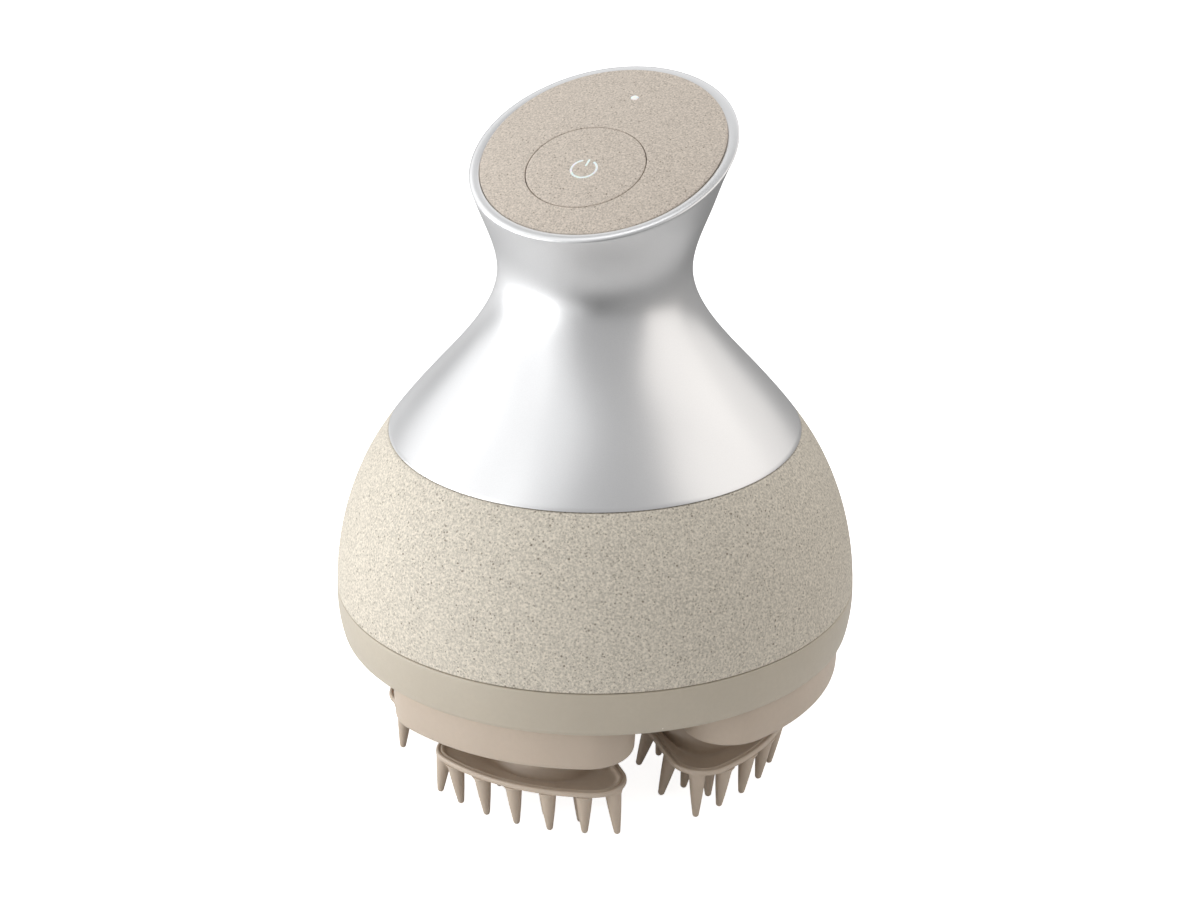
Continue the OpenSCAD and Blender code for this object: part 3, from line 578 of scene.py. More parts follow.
def status_lens():
    """Milky light window, a hair proud of the panel with a domed end."""
    a = angles(48)
    low, proud = -4.1, 0.05
    h = float(crown(0.0, LIGHT_S))

    def ring(r, level):
        return on_top(r * np.cos(a), LIGHT_S + r * np.sin(a), level)

    rings = [ring(LIGHT_R - 0.05, low), ring(LIGHT_R, low + 0.1), ring(LIGHT_R, h - proud)]
    for q in np.linspace(0.2, 1.3, 5):
        rings.append(ring(LIGHT_R * math.cos(q), h - proud + 2 * proud * math.sin(q)))
    verts, faces = loft(rings, cap_start=on_top(0.0, LIGHT_S, low), cap_end=on_top(0.0, LIGHT_S, h + proud))
    return hand_over(new_object("status_lens_milky", verts, faces), "housing", "light_window", "status_lens")


# ---------------- massage heads

# Points on a sector's outer arc, on each side and outer corner, and on the inner corner
SECTOR_STEPS = (28, 16, 12)


def arc_points(centre, r, a0, a1, n):
    a = np.radians(np.linspace(a0, a1, n, endpoint=False))
    return np.c_[centre[0] + r * np.cos(a), centre[1] + r * np.sin(a)]


def sector_outline(size, inset=0.0):
    """Quarter sector with round corners about the body axis, its own axis along +X."""
    r, gap, corner = size[0] - inset, size[1] + inset, size[2] - inset
    far, side, near = SECTOR_STEPS
    turn = 45.0 - math.degrees(math.asin((gap + corner) / (r - corner)))
    c = (r - corner) * pointing(turn)
    apex = np.array([(gap + corner) * math.sqrt(2), 0.0])
    corner_a = c + corner * pointing(135)
    apex_a = apex + corner * pointing(135)
    t = np.linspace(0, 1, side, endpoint=False)[:, None]
    upper = corner_a * (1 - t) + apex_a * t
    mirror = np.array([1.0, -1.0])
    lower = (apex_a * mirror) * (1 - t) + (corner_a * mirror) * t
    return np.vstack([
        arc_points((0, 0), r, -turn, turn, far),
        arc_points(c, corner, turn, 135, side),
        upper,
        arc_points(apex, corner, 135, 225, near),
        lower,
        arc_points(c * mirror, corner, 225, 360 - turn, side),
    ])


def circle_like(outline, r):
    """Circle about the head's crank axis whose points face the outline's points."""
    d = outline - np.array([CRANK_AXIS_R, 0.0])
    d /= np.linalg.norm(d, axis=1)[:, None]
    return np.array([CRANK_AXIS_R, 0.0]) + r * d


def level_ring(points, z):
    return np.c_[points, np.broadcast_to(z, (len(points),))]


def place_head(verts, direction, shift=(0.0, 0.0)):
    """Turns head-frame points to a head's place, then moves them by shift."""
    turn = math.radians(direction)
    c, s = math.cos(turn), math.sin(turn)
    v = np.asarray(verts, float)
    return np.c_[v[:, 0] * c - v[:, 1] * s + shift[0], v[:, 0] * s + v[:, 1] * c + shift[1], v[:, 2]]


def crank_throw(name):
    """How far a head's pivot stands from its crank's axis at rest."""
    pivot = np.array(JOINTS[f"head_{name}_pivot"]["pos_m"])
    axis = np.array(JOINTS[f"crank_{name}_turn"]["pos_m"])
    return (pivot - axis)[:2] / MM


def boot_mesh():
    """Smooth silicone boot: outer wall, soft lower edge, floor with the stem's hole, inside."""
    top, low = EDGE_Z, BOOT_Z
    wall, floor_t = 2.0, 1.8
    round_r, lean = 1.3, 0.25
    rings = []
    for t in np.linspace(0, 1, 7):
        z = top * (1 - t) + (low + round_r) * t
        rings.append(level_ring(sector_outline(BOOT, lean * t * t), z))
    for up, into in quarter_round(round_r, 9)[1:]:
        rings.append(level_ring(sector_outline(BOOT, lean + into), low + up))
    edge = sector_outline(BOOT, lean + round_r)
    hole = circle_like(edge, BOOT_HOLE_R)
    for t in (0.2, 0.4, 0.6, 0.8, 0.96):
        rings.append(level_ring(edge * (1 - t) + hole * t, low))
    rings.append(level_ring(hole, low + 0.25))
    rings.append(level_ring(hole, low + floor_t))
    inner = sector_outline(BOOT, wall)
    for t in (0.35, 0.7, 1.0):
        rings.append(level_ring(hole * (1 - t) + inner * t, low + floor_t))
    rings.append(level_ring(inner, low + floor_t + 0.4))
    rings.append(level_ring(inner, top))
    return loft(rings, wrap=True)


def hold_inside(points, size, slack):
    """Moves points that lie outside a sector outline, grown by slack, onto it."""
    r, gap, corner = size[0] + slack, size[1] - slack, size[2] + slack
    turn = math.radians(45.0) - math.asin((gap + corner) / (r - corner))
    centre = (r - corner) * pointing(math.degrees(turn))
    held = np.array(points, float)
    for p in held:
        side = -1.0 if p[1] < 0 else 1.0
        x, y = p[0], side * p[1]
        from_centre = np.array([x, y]) - centre
        way = math.atan2(from_centre[1], from_centre[0])
        if way < turn:
            k = min(1.0, r / math.hypot(x, y))
            x, y = x * k, y * k
        elif way < math.radians(135.0):
            k = min(1.0, corner / np.linalg.norm(from_centre))
            x, y = centre + from_centre * k
        else:
            out = max(0.0, gap - (x - y) / math.sqrt(2)) / math.sqrt(2)
            x, y = x + out, y - out
        p[0], p[1] = x, side * y
    return held


def tooth_part(x, y, lean_x, lean_y, root_z):
    """One conical tooth with a round tip, flared into the dish at its root."""
    n = 32
    flare_r, flare_share = 0.4, 0.16
    slack_at_tip = 3.0
    a = angles(n)
    axis_low = np.array([x + lean_x, y + lean_y, TOOTH_TIP_R])
    axis_high = np.array([x, y, root_z])
    down = axis_low - axis_high
    reach = np.linalg.norm(down)
    down /= reach
    side = np.cross(down, [0.0, 1.0, 0.0])
    side /= np.linalg.norm(side)
    other = np.cross(down, side)
    around = np.cos(a)[:, None] * side + np.sin(a)[:, None] * other
    rings = []
    for t in np.linspace(0, 1, 22) ** 1.3:
        swell = 0.07 * math.sin(math.pi * t)
        flare = flare_r * max(0.0, 1 - t / flare_share) ** 2.2
        r = TOOTH_BASE_R * (1 - t) + TOOTH_TIP_R * t + swell + flare
        rings.append(hold_inside(axis_high + down * reach * t + r * around, CLAW, slack_at_tip * t))
    for q in np.linspace(0, math.pi / 2, 8)[1:-1]:
        rings.append(axis_low + TOOTH_TIP_R * (down * math.sin(q) + math.cos(q) * around))
    return loft(rings, cap_start=axis_high - down * 0.05, cap_end=axis_low + down * TOOTH_TIP_R)


def tooth_places():
    """Root x and y, lean of the tip and root height of a head's 18 teeth."""
    pitch, arc_r, arc_lean = 10.45, 37.3, -1.2
    places = []
    for i in range(-2, 3):
        out = pointing(i * pitch)
        places.append((*(arc_r * out), *(arc_lean * out), RIM_TOOTH_Z))
    half = [(31.2, 17.4, 0.2, 1.0, RIM_TOOTH_Z), (23.8, 12.1, -1.6, 1.6, RIM_TOOTH_Z),
            (15.7, 3.6, -2.2, 1.4, RIM_TOOTH_Z), (30.3, 10.3, 0.0, 0.0, INNER_TOOTH_Z),
            (31.0, 3.5, 0.0, 0.0, INNER_TOOTH_Z), (25.6, 8.1, -0.8, 1.2, INNER_TOOTH_Z)]
    places += half + [(x, -y, u, -v, z) for x, y, u, v, z in half]
    places.append((16.6, 0.0, -1.3, 0.0, INNER_TOOTH_Z))
    return places


def claw_mesh():
    """Saucer dish with a grooved rim and its neck, as one closed surface without teeth."""
    outline = sector_outline(CLAW)
    rim_top = CLAW_LOW_Z + 1.05
    foot_r, blend_inset, under_inset = NECK_R + 0.9, 2.6, 4.6

    def neck(r, z):
        return level_ring(circle_like(outline, r), z)

    def floor(t, z):
        return level_ring(sector_outline(CLAW, blend_inset) * t + circle_like(outline, foot_r) * (1 - t), z)

    def rim(inset, z):
        return level_ring(sector_outline(CLAW, inset), z)

    rings = [neck(CARRIER_R, CARRIER_Z), neck(CARRIER_R, NECK_TOP_Z - 0.2)]
    rings += [neck(NECK_R - into, NECK_TOP_Z - down) for into, down in quarter_round(0.6, 5)]
    rings += [neck(NECK_R + 0.6 * t * t, z) for t, z in ((0.25, 14.6), (0.5, 13.0), (0.8, 11.4), (1.0, 10.0))]
    rings += [floor(t, CLAW_FLOOR_Z + z) for t, z in
              ((0.03, 0.8), (0.1, 0.25), (0.2, 0.05), (0.35, 0.4), (0.5, 0.85), (0.65, 1.1), (0.85, 1.18))]
    rings += [rim(inset, rim_top - z) for inset, z in ((2.6, 0.75), (2.1, 0.68), (1.75, 0.52), (1.6, 0.28))]
    rings += [rim(CLAW_RIM_T, rim_top - 0.1), rim(CLAW_RIM_T - 0.12, rim_top - 0.02)]
    rings += [rim(inset, rim_top - z) for inset, z in
              ((1.2, 0.0), (1.0, 0.01), (0.9, 0.12), (0.8, 0.17), (0.7, 0.12), (0.6, 0.01), (0.4, 0.0),
               (0.2, 0.05), (0.06, 0.18), (0.0, 0.4), (0.0, 0.8), (0.05, 0.97), (0.2, 1.1), (0.6, 1.28),
               (1.4, 1.6), (2.4, 1.98), (3.5, 2.4), (under_inset, 2.8))]
    centre = np.array([CRANK_AXIS_R, 0.0])
    last = sector_outline(CLAW, under_inset)
    rings += [level_ring(last * (1 - t) + centre * t, CLAW_UNDER_Z) for t in (0.2, 0.5, 0.8)]
    return loft(rings, cap_start=(*centre, CARRIER_Z), cap_end=(*centre, CLAW_UNDER_Z))


def toothed_claw():
    """Points and faces of one claw in its head's frame, teeth and dish in one skin."""
    body = new_object("claw_body", *claw_mesh())
    teeth = [new_object("tooth", *tooth_part(*place)) for place in tooth_places()]
    for tooth in teeth:
        modifier = body.modifiers.new("join", "BOOLEAN")
        modifier.operation = "UNION"
        modifier.solver = "EXACT"
        modifier.object = tooth
    apply_modifiers(body)
    verts = np.array([v.co for v in body.data.vertices]) / MM
    faces = [tuple(p.vertices) for p in body.data.polygons]
    for obj in teeth + [body]:
        discard(obj)
    return verts, faces


def massage_heads():
    """Four boots on the housing and four toothed claws on their own bodies."""
    boot_verts, boot_faces = boot_mesh()
    claw_verts, claw_faces = toothed_claw()
    made = []
    for name, direction in HEADS.items():
        placed = place_head(boot_verts, direction)
        boot = new_object(f"boot_{name}_silicone", placed, boot_faces, BOOT_SHARP_ANGLE)
        made.append(hand_over(boot, "housing", "claw_silicone", f"boot_{name}"))
        placed = place_head(claw_verts, direction, crank_throw(name))
        claw = new_object(f"claw_{name}_silicone", placed, claw_faces, CLAW_SHARP_ANGLE)
        made.append(hand_over(claw, f"head_{name}", "claw_silicone", f"claw_{name}"))
    return made


# ---------------- charging recess

def charge_socket():
    """Round moulded insert with a soft-edged recess and two contact holes."""
    origin, axis = socket_frame()
    out_r, recess_r, face, back = SOCKET_R, RECESS_R, SOCKET_FACE, SOCKET_BACK
    floor = face - RECESS_DEPTH
    section = [(out_r - 0.2, back), (out_r, back + 0.2), (out_r, face - 0.35)]
    section += round_corner((out_r, face - 1), (out_r, face), (out_r - 1, face), 0.35)
    section += round_corner((recess_r + 1, face), (recess_r, face), (recess_r, face - 1), 0.3)
    section += round_corner((recess_r, floor + 1), (recess_r, floor), (recess_r - 1, floor), 0.25)
    section += [(4.0, floor), (1.0, floor)]
    verts, faces = loft(revolve_rings(section, 128), cap_start=(0, 0, back), cap_end=(0, 0, floor))
    obj = new_object("charge_socket_black", along_axis(verts, origin, axis), faces)
    holes = []
    for side in (-1, 1):
        at = origin + np.array([side * CONTACT_X, 0, 0]) + (floor - 6.0) * axis
        holes.append(cylinder_cutter(CONTACT_R + 0.02, 8.0, at, axis, flare=0.08, flare_at=6.0, n=48))
        at = origin + np.array([side * MAGNET_X, 0, 0]) + (back - 1.0) * axis
        holes.append(cylinder_cutter(MAGNET_R + 0.02, 3.0, at, axis, n=48))
    cut(obj, holes)
    shade(obj)
    return hand_over(obj, "housing", "black_plastic", "charge_socket")


def charge_contacts():
    """Two round-faced contact pins."""
    origin, axis = socket_frame()
    back, top, edge = CONTACT_BACK, SOCKET_FACE - RECESS_DEPTH, 0.2
    section = [(CONTACT_R - 0.1, back), (CONTACT_R, back + 0.1), (CONTACT_R, top - edge)]
    section += [(CONTACT_R - edge + edge * math.cos(q), top - edge + edge * math.sin(q))
                for q in np.linspace(0.3, math.pi / 2, 5)]
    verts, faces = loft(revolve_rings(section, 48), cap_start=(0, 0, back), cap_end=(0, 0, top))
    places = [origin + np.array([side * CONTACT_X, 0, 0]) for side in (-1, 1)]
    obj = new_object("charge_contacts_gold", *merge([(along_axis(verts, at, axis), faces) for at in places]))
    return hand_over(obj, "housing", "gold_contact", "charge_contacts")


# ---------------- materials

def srgb(r, g, b):
    """Linear colour from 8-bit display values."""
    out = []
    for v in (r, g, b):
        c = v / 255.0
        out.append(c / 12.92 if c <= 0.04045 else ((c + 0.055) / 1.055) ** 2.4)
    return (*out, 1.0)


class Finish:
    """A material with its own node tree and short calls to add nodes to it."""

    def __init__(self, name, base, roughness=0.5, metallic=0.0, specular=0.5):
        self.mat = bpy.data.materials.new(name)
        self.mat.use_nodes = True
        self.tree = self.mat.node_tree
        self.shader = self.tree.nodes["Principled BSDF"]
        self.fill(self.shader, {"Base Color": base, "Roughness": roughness, "Metallic": metallic,
                                "Specular IOR Level": specular})
        self.mat.diffuse_color = base
        self.place = self.node("ShaderNodeTexCoord").outputs["Object"]

    def node(self, kind, **values):
        made = self.tree.nodes.new(kind)
        for key, value in values.items():
            setattr(made, key, value)
        return made

    def put(self, socket, value):
        """Links an input to another node's output or sets its value."""
        if hasattr(value, "is_linked"):
            self.tree.links.new(value, socket)
        else:
            socket.default_value = value

    def fill(self, node, values):
        for name, value in values.items():
            self.put(node.inputs[name], value)

    def noise(self, size_mm, detail=3.0, rough=0.55, place=None):
        """Noise from 0 to 1 with features of about size_mm."""
        made = self.node("ShaderNodeTexNoise")
        self.fill(made, {"Vector": place or self.place, "Scale": 1 / (size_mm * MM), "Detail": detail,
                         "Roughness": rough})
        return made.outputs["Fac"]

    def moved(self, operation, x, y, z):
        """The place, shifted (ADD) or stretched (MULTIPLY) by a vector."""
        made = self.node("ShaderNodeVectorMath", operation=operation)
        self.put(made.inputs[0], self.place)
        self.put(made.inputs[1], (x, y, z))
        return made.outputs["Vector"]

    def spread(self, value, low, high, to_low=0.0, to_high=1.0, smooth=False):
        """Maps low..high to to_low..to_high, clamped."""
        made = self.node("ShaderNodeMapRange", interpolation_type="SMOOTHSTEP" if smooth else "LINEAR")
        self.fill(made, {"Value": value, "From Min": low, "From Max": high, "To Min": to_low,
                         "To Max": to_high})
        return made.outputs["Result"]

    def maths(self, operation, a, b=0.0):
        made = self.node("ShaderNodeMath", operation=operation)
        self.put(made.inputs[0], a)
        self.put(made.inputs[1], b)
        return made.outputs[0]

    def mix(self, fac, a, b):
        """Colour a where fac is 0 and b where it is 1."""
        made = self.node("ShaderNodeMix", data_type="RGBA")
        self.put(made.inputs[0], fac)
        self.put(made.inputs[6], a)
        self.put(made.inputs[7], b)
        return made.outputs[2]

    def bump(self, height, strength, depth_mm):
        made = self.node("ShaderNodeBump")
        self.fill(made, {"Strength": strength, "Distance": depth_mm * MM, "Height": height})
        self.fill(self.shader, {"Normal": made.outputs["Normal"]})

    def colour(self, value):
        self.fill(self.shader, {"Base Color": value})

    def roughness(self, value):
        self.fill(self.shader, {"Roughness": value})


def shaded(colour, k):
    """The colour times k."""
    return tuple(min(1.0, c * k) for c in colour[:3]) + (1.0,)


def specks(f, cell_mm, radius, share, offset):
    """Mask of soft-edged dots: one in share of the cells holds a dot, each of its own size."""
    place = f.moved("ADD", offset, offset * 0.7, offset * 1.3)
    cells = f.node("ShaderNodeTexVoronoi")
    f.fill(cells, {"Vector": place, "Scale": 1 / (cell_mm * MM)})
    parts = f.node("ShaderNodeSeparateColor")
    f.put(parts.inputs[0], cells.outputs["Color"])
    chosen = f.maths("LESS_THAN", parts.outputs[0], share)
    size = f.spread(parts.outputs[1], 0.0, 1.0, radius * 0.45, radius)
    edge = f.maths("MULTIPLY", size, 0.6)
    dot = f.spread(cells.outputs["Distance"], edge, size, 1.0, 0.0)
    depth = f.spread(parts.outputs[2], 0.0, 1.0, 0.45, 1.0)
    return f.maths("MULTIPLY", f.maths("MULTIPLY", dot, chosen), depth)


def speckled_paint(name, base, dark, scale, contrast):
    """Matte sand paint: fine light and dark mottling with many small dark specks in it."""
    f = Finish(name, base, roughness=0.62, specular=0.35)
    cloud = f.spread(f.noise(18.0, 2.0), 0.3, 0.7)
    grain = f.noise(0.62 * scale, 2.0, 0.6)
    ground = f.mix(cloud, shaded(base, 0.975), shaded(base, 1.02))
    sandy = f.mix(f.spread(grain, 0.36, 0.66), shaded(base, 0.72), shaded(base, 1.25))
    ground = f.mix(0.8 * contrast, ground, sandy)
    fine = specks(f, 0.72 * scale, 0.46, 0.85, 0.031)
    big = specks(f, 1.25 * scale, 0.30, 0.60, 0.013)
    colour = f.mix(f.maths("MULTIPLY", fine, 0.5 * contrast), ground, dark)
    f.colour(f.mix(f.maths("MULTIPLY", big, 0.85 * contrast), colour, dark))
    f.roughness(f.spread(grain, 0.3, 0.7, 0.68, 0.56))
    f.bump(f.maths("SUBTRACT", grain, f.maths("MULTIPLY", f.maths("MAXIMUM", big, fine), 0.4)), 0.25, 0.03)
    return f.mat


def silicone(name, base, scatter, dust=0.0):
    """Smooth matte silicone with faint clouding, a soft sheen and the odd fleck of dust."""
    f = Finish(name, base, roughness=0.50, specular=0.8)
    cloud = f.noise(14.0, 3.0, 0.5)
    fine = f.noise(0.9, 3.0, 0.6)
    ground = f.mix(f.spread(cloud, 0.3, 0.7), shaded(base, 0.955), shaded(base, 1.035))
    ground = f.mix(f.spread(fine, 0.35, 0.65, 0.0, 0.35), ground, shaded(base, 0.93))
    if dust:
        flecks = specks(f, 3.4, 0.055, dust, 0.071)
        ground = f.mix(f.maths("MULTIPLY", flecks, 0.85), ground, srgb(240, 236, 228))
    f.colour(ground)
    f.roughness(f.spread(fine, 0.3, 0.7, 0.45, 0.54))
    f.fill(f.shader, {"Subsurface Weight": scatter, "Subsurface Radius": (1.0, 0.75, 0.55),
                      "Subsurface Scale": 1.1 * MM, "Sheen Weight": 0.12, "Sheen Roughness": 0.45})
    f.bump(f.noise(0.35, 3.0, 0.55), 0.12, 0.02)
    return f.mat


def satin_metal(name, base, roughness, grain_mm=0.16):
    """Fine-blasted satin metal."""
    f = Finish(name, base, roughness=roughness, metallic=1.0)
    grain = f.noise(grain_mm, 3.0, 0.6)
    cloud = f.noise(9.0, 2.0, 0.5)
    f.colour(f.mix(f.spread(grain, 0.34, 0.66), shaded(base, 0.955), base))
    f.roughness(f.maths("ADD", f.spread(grain, 0.3, 0.7, roughness - 0.035, roughness + 0.035),
                        f.spread(cloud, 0.3, 0.7, -0.01, 0.01)))
    f.bump(grain, 0.10, 0.012)
    return f.mat


def moulded(name, base, roughness=0.5, texture_mm=0.35, depth=0.25):
    """Moulded plastic with a spark-eroded texture and slight flow marks."""
    f = Finish(name, base, roughness=roughness, specular=0.45)
    grain = f.noise(texture_mm, 4.0, 0.6)
    flow = f.noise(12.0, 2.0, 0.4, f.moved("MULTIPLY", 1.0, 1.0, 0.25))
    ground = f.mix(f.spread(flow, 0.3, 0.7), shaded(base, 0.92), base)
    f.colour(f.mix(f.spread(grain, 0.4, 0.7, 0.0, 0.3), ground, shaded(base, 0.85)))
    f.roughness(f.spread(grain, 0.3, 0.7, roughness - 0.06, roughness + 0.08))
    f.bump(grain, depth, 0.03)
    return f.mat


def turned_metal(name, base, roughness=0.28):
    """Machined metal with fine tool rings about vertical axes and light smudges."""
    f = Finish(name, base, roughness=roughness, metallic=1.0)
    rings = f.noise(0.25, 2.0, 0.5, f.moved("MULTIPLY", 0.06, 0.06, 1.0))
    smudge = f.noise(4.0, 3.0, 0.6)
    f.colour(f.mix(f.spread(smudge, 0.35, 0.7), base, shaded(base, 0.82)))
    f.roughness(f.maths("ADD", f.spread(rings, 0.3, 0.7, roughness - 0.06, roughness + 0.06),
                        f.spread(smudge, 0.3, 0.7, -0.03, 0.08)))
    f.bump(rings, 0.2, 0.01)
    return f.mat


def milky_window(name):
    """Milky translucent plastic, lightly clouded."""
    base = srgb(250, 249, 246)
    f = Finish(name, base, roughness=0.3, specular=0.5)
    f.colour(f.mix(f.spread(f.noise(0.6, 2.0), 0.3, 0.7), srgb(244, 243, 240), srgb(254, 254, 252)))
    f.roughness(f.spread(f.noise(0.2, 2.0), 0.3, 0.7, 0.26, 0.36))
    f.fill(f.shader, {"Subsurface Weight": 0.3, "Subsurface Scale": 0.4 * MM})
    f.bump(f.noise(0.25, 2.0), 0.05, 0.01)
    return f.mat


def circuit_board(name):
    """Green solder mask with faint tracks and a woven base showing through."""
    f = Finish(name, srgb(24, 92, 54), roughness=0.35, specular=0.5)
    brick = f.node("ShaderNodeTexBrick")
    f.fill(brick, {"Vector": f.place, "Scale": 380.0, "Mortar Size": 0.035, "Color1": srgb(22, 88, 52),
                   "Color2": srgb(20, 80, 48), "Mortar": srgb(52, 130, 78)})
    weave = f.noise(0.5, 2.0)
    f.colour(f.mix(f.spread(weave, 0.3, 0.7, 0.0, 0.35), brick.outputs["Color"], srgb(34, 104, 62)))
    f.roughness(f.spread(weave, 0.3, 0.7, 0.28, 0.42))
    f.bump(brick.outputs["Fac"], 0.3, 0.03)
    return f.mat


def film(name, base, roughness=0.3):
    """Thin wound or rolled film with fine length-wise creases."""
    f = Finish(name, base, roughness=roughness, specular=0.5)
    crease = f.noise(1.6, 3.0, 0.5, f.moved("MULTIPLY", 1.0, 1.0, 0.2))
    f.colour(f.mix(f.spread(crease, 0.3, 0.7), shaded(base, 0.85), base))
    f.roughness(f.spread(crease, 0.3, 0.7, roughness - 0.05, roughness + 0.1))
    f.bump(crease, 0.2, 0.05)
    return f.mat


# Finish of each material slot of the record, and what that finish is made with
FINISH_TABLE = {
    "satin_silver": (satin_metal, srgb(228, 228, 229), 0.34),
    "speckled_shell": (speckled_paint, srgb(208, 200, 186), srgb(98, 86, 70), 0.7, 1.0),
    "speckled_panel": (speckled_paint, srgb(203, 192, 180), srgb(104, 92, 76), 0.58, 0.9),
    "skirt_silicone": (silicone, srgb(188, 178, 161), 0.10, 0.05),
    "claw_silicone": (silicone, srgb(193, 177, 160), 0.14, 0.03),
    "frame_plastic": (moulded, srgb(74, 74, 78), 0.48),
    "white_plastic": (moulded, srgb(226, 226, 221), 0.45),
    "gear_plastic": (moulded, srgb(228, 222, 206), 0.34, 0.5, 0.12),
    "black_rubber": (silicone, srgb(36, 36, 37), 0.0),
    "black_plastic": (moulded, srgb(40, 40, 42), 0.32, 0.4, 0.12),
    "light_window": (milky_window,),
    "board_green": (circuit_board,),
    "flex_amber": (film, srgb(196, 132, 48), 0.25),
    "cell_wrap": (film, srgb(46, 84, 160), 0.22),
    "steel": (turned_metal, srgb(200, 201, 204)),
    "brass": (turned_metal, srgb(212, 178, 104)),
    "gold_contact": (turned_metal, srgb(230, 190, 104), 0.2),
    "lead_red": (film, srgb(176, 40, 34), 0.3),
}


# ---------------- inner parts

def dress_inner_parts(replaced):
    """Gives every CAD node that isn't replaced its finish, a small edge round and smooth shading."""
    slots = {row["node"]: row["material_slot"] for row in frame["record"]["subparts"]}
    for node, obj in frame["nodes"].items():
        if node in replaced:
            continue
        coat(obj, slots[node])
        obj.data.polygons.foreach_set("use_smooth", [True] * len(obj.data.polygons))
        bevel = obj.modifiers.new("edge_round", "BEVEL")
        bevel.width = INNER_ROUND * MM
        bevel.segments = 2
        bevel.limit_method = "ANGLE"
        bevel.angle_limit = math.radians(50)
        bevel.harden_normals = True
        bevel.use_clamp_overlap = True


# ---------------- studio

def area_light(name, power, size, location, colour):
    """Softbox that faces the middle of the object."""
    light = bpy.data.lights.new(name, "AREA")
    light.shape = "RECTANGLE"
    light.size, light.size_y = size
    light.energy = power
    light.color = colour
    obj = bpy.data.objects.new(name, light)
    obj.location = location
    towards = Vector((0, 0, LIGHT_AIM_Z)) - Vector(location)
    obj.rotation_euler = towards.to_track_quat("-Z", "Y").to_euler()
    bpy.context.scene.collection.objects.link(obj)


CAMERA_AZIMUTH = 25.7
CAMERA_ELEVATION = 24.2
CAMERA_DISTANCE = 0.70
CAMERA_AIM_Z = 0.0603
CAMERA_SHIFT = 0.00417
FOCAL_IN_WIDTHS = 3.10975
SENSOR_MM = 36.0
LIGHT_AIM_Z = 0.06


def from_camera_side(azimuth, elevation, distance, target_z=LIGHT_AIM_Z):
    """Point at an azimuth counted from the camera's own, as seen from the object."""
    a = math.radians(CAMERA_AZIMUTH + azimuth)
    e = math.radians(elevation)
    return (distance * math.sin(a) * math.cos(e), -distance * math.cos(a) * math.cos(e),
            target_z + distance * math.sin(e))


FLOOR_GLOW = 0.85
WORLD_LIGHT = 0.50
COOL = (0.99, 1.0, 1.0)
WARM = (1.0, 0.95, 0.89)
# Softboxes: name, power in watts, width and height in metres, azimuth from the camera,
# elevation and distance of the centre, and colour
SOFTBOXES = [
    ("softbox_left", 2.2, (0.93, 1.1), -76, 26, 1.0, COOL),
    ("softbox_left_back", 1.6, (0.73, 0.83), -118, 31, 1.0, COOL),
    ("softbox_left_front", 0.7, (0.5, 1.1), -40, 26, 1.0, COOL),
    ("softbox_left_low", 2.3, (1.1, 0.25), -76, 5, 1.0, COOL),
    ("softbox_left_floor", 0.45, (0.5, 0.05), -80, -6, 0.4, COOL),
    ("softbox_right", 2.35, (0.95, 1.1), 82, 26, 1.0, WARM),
    ("softbox_right_back", 0.8, (0.6, 0.8), 126, 26, 1.0, WARM),
    ("softbox_back", 1.2, (1.4, 0.42), 180, 42, 1.0, COOL),
    ("softbox_top_left", 0.7, (0.9, 0.42), -60, 67, 1.0, COOL),
    ("softbox_top", 0.8, (0.42, 0.42), 0, 89, 1.0, COOL),
]
# Floor in reflections: brightness of the pool of light round the object and of the rest,
# the distances in metres between which the pool fades round the object and to its sides,
# the right side's share of it, and the strength and tint of the glow on the left
POOL_BRIGHT = 0.85
FLOOR_DIM = 0.2
POOL_FADE = (0.09, 0.19)
LEFT_FADE = (0.02, 0.20)
RIGHT_FADE = (0.04, 0.22)
RIGHT_SHARE = 0.3
LEFT_GLOW = 0.1
LEFT_TINT = (0.98, 1.0, 1.03, 1.0)


def grey(v):
    return (v, v, v, 1.0)


def floor_finish():
    """White paper to the camera, and a pool of light that falls off to the right in reflections."""
    f = Finish("floor_paper", srgb(250, 250, 250), roughness=0.85, specular=0.05)
    seen = f.node("ShaderNodeLightPath").outputs["Is Camera Ray"]
    paper = f.mix(f.noise(260.0, 2.0), srgb(247, 247, 247), srgb(252, 252, 252))
    turned = f.node("ShaderNodeVectorRotate", rotation_type="Z_AXIS")
    f.fill(turned, {"Vector": f.place, "Angle": -math.radians(CAMERA_AZIMUTH)})
    apart = f.node("ShaderNodeSeparateXYZ")
    f.put(apart.inputs[0], turned.outputs["Vector"])
    right = apart.outputs[0]
    length = f.node("ShaderNodeVectorMath", operation="LENGTH")
    f.put(length.inputs[0], f.place)
    near = f.spread(length.outputs["Value"], *POOL_FADE, 1.0, 0.0, smooth=True)
    left = f.spread(right, -LEFT_FADE[1], -LEFT_FADE[0], 1.0, 0.0, smooth=True)
    far_right = f.spread(right, *RIGHT_FADE, 0.0, RIGHT_SHARE, smooth=True)
    pool = f.maths("MAXIMUM", f.maths("MAXIMUM", near, left), far_right)
    bounce = f.mix(pool, grey(FLOOR_DIM), grey(POOL_BRIGHT))
    f.colour(f.mix(seen, bounce, paper))
    f.fill(f.shader, {"Emission Color": f.mix(seen, LEFT_TINT, grey(1.0))})
    glow = f.maths("MULTIPLY", f.maths("SUBTRACT", 1.0, seen), f.maths("MULTIPLY", left, LEFT_GLOW))
    f.fill(f.shader, {"Emission Strength": f.maths("ADD", f.maths("MULTIPLY", seen, FLOOR_GLOW), glow)})
    return f.mat


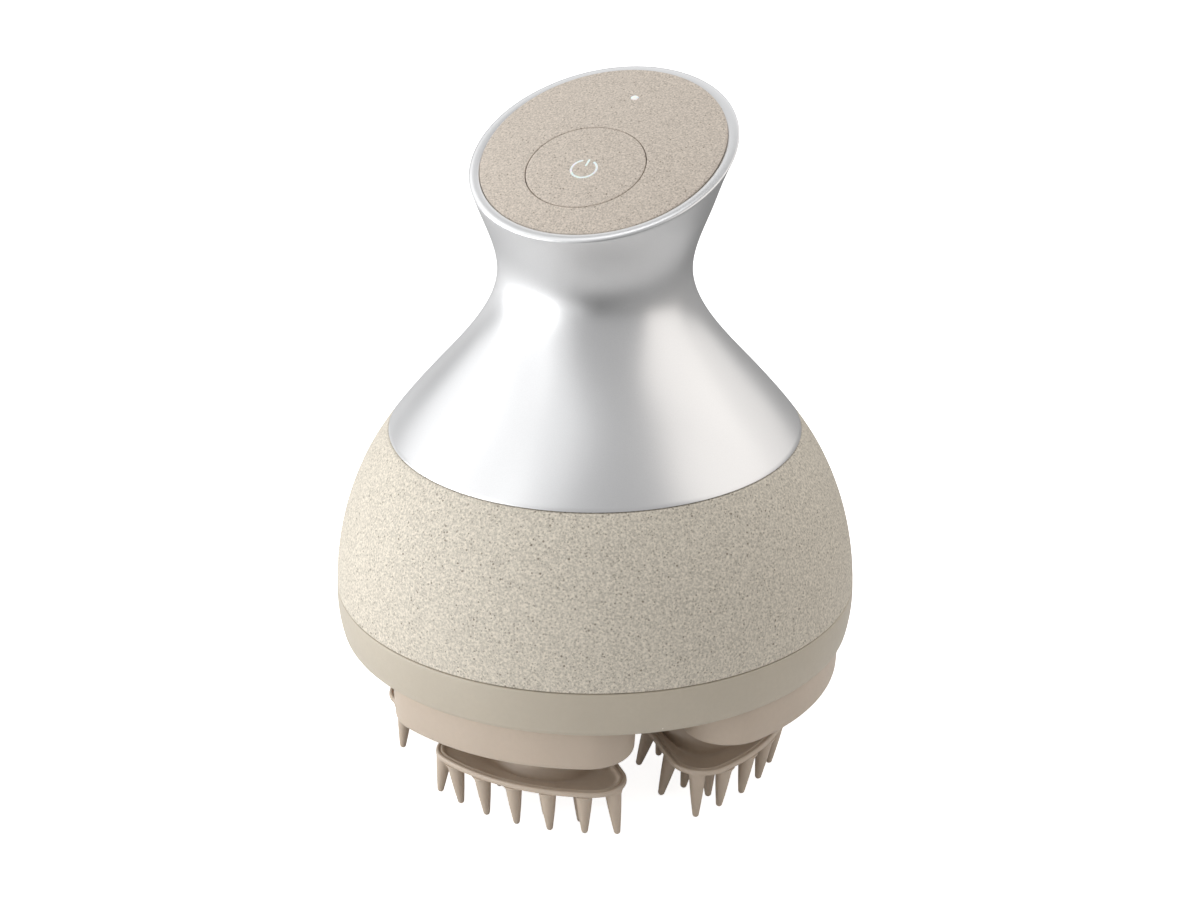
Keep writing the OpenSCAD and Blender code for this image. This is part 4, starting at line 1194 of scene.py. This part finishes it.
def world_light():
    """Even white light. The camera itself sees plain white."""
    world = bpy.data.worlds.new("studio")
    bpy.context.scene.world = world
    world.use_nodes = True
    nodes, links = world.node_tree.nodes, world.node_tree.links
    background = nodes["Background"]
    background.inputs["Color"].default_value = grey(1.0)
    background.inputs["Strength"].default_value = WORLD_LIGHT
    seen = nodes.new("ShaderNodeBackground")
    seen.inputs["Color"].default_value = grey(1.0)
    path = nodes.new("ShaderNodeLightPath")
    choice = nodes.new("ShaderNodeMixShader")
    links.new(path.outputs["Is Camera Ray"], choice.inputs[0])
    links.new(background.outputs[0], choice.inputs[1])
    links.new(seen.outputs[0], choice.inputs[2])
    links.new(choice.outputs[0], nodes["World Output"].inputs["Surface"])


def make_stage():
    """Pale floor, world light, softboxes and the camera."""
    bpy.ops.mesh.primitive_plane_add(size=8.0, location=(0, 0, -0.0002))
    floor = bpy.context.object
    floor.name = "floor"
    floor.data.materials.append(floor_finish())
    world_light()
    for name, power, size, azimuth, elevation, distance, colour in SOFTBOXES:
        area_light(name, power, size, from_camera_side(azimuth, elevation, distance), colour)

    data = bpy.data.cameras.new("camera")
    data.sensor_width = SENSOR_MM
    data.lens = FOCAL_IN_WIDTHS * SENSOR_MM
    data.shift_x = CAMERA_SHIFT
    data.clip_start, data.clip_end = 0.01, 50.0
    camera = bpy.data.objects.new("camera", data)
    camera.location = from_camera_side(0, CAMERA_ELEVATION, CAMERA_DISTANCE, CAMERA_AIM_Z)
    towards = Vector((0, 0, CAMERA_AIM_Z)) - Vector(camera.location)
    camera.rotation_euler = towards.to_track_quat("-Z", "Y").to_euler()
    bpy.context.scene.collection.objects.link(camera)
    bpy.context.scene.camera = camera
    bpy.context.scene.view_settings.view_transform = "Standard"


# ---------------- build

FINISHES = {slot: make(slot, *values) for slot, (make, *values) in FINISH_TABLE.items()}
shown = [neck_shell(), belly_shell(), skirt_cover(), top_panel(), power_button(), power_mark(),
         status_lens(), charge_socket(), charge_contacts()]
shown += massage_heads()
replaced_nodes = {node for piece in shown for node in piece.get("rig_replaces", [])}
dress_inner_parts(replaced_nodes)
make_stage()
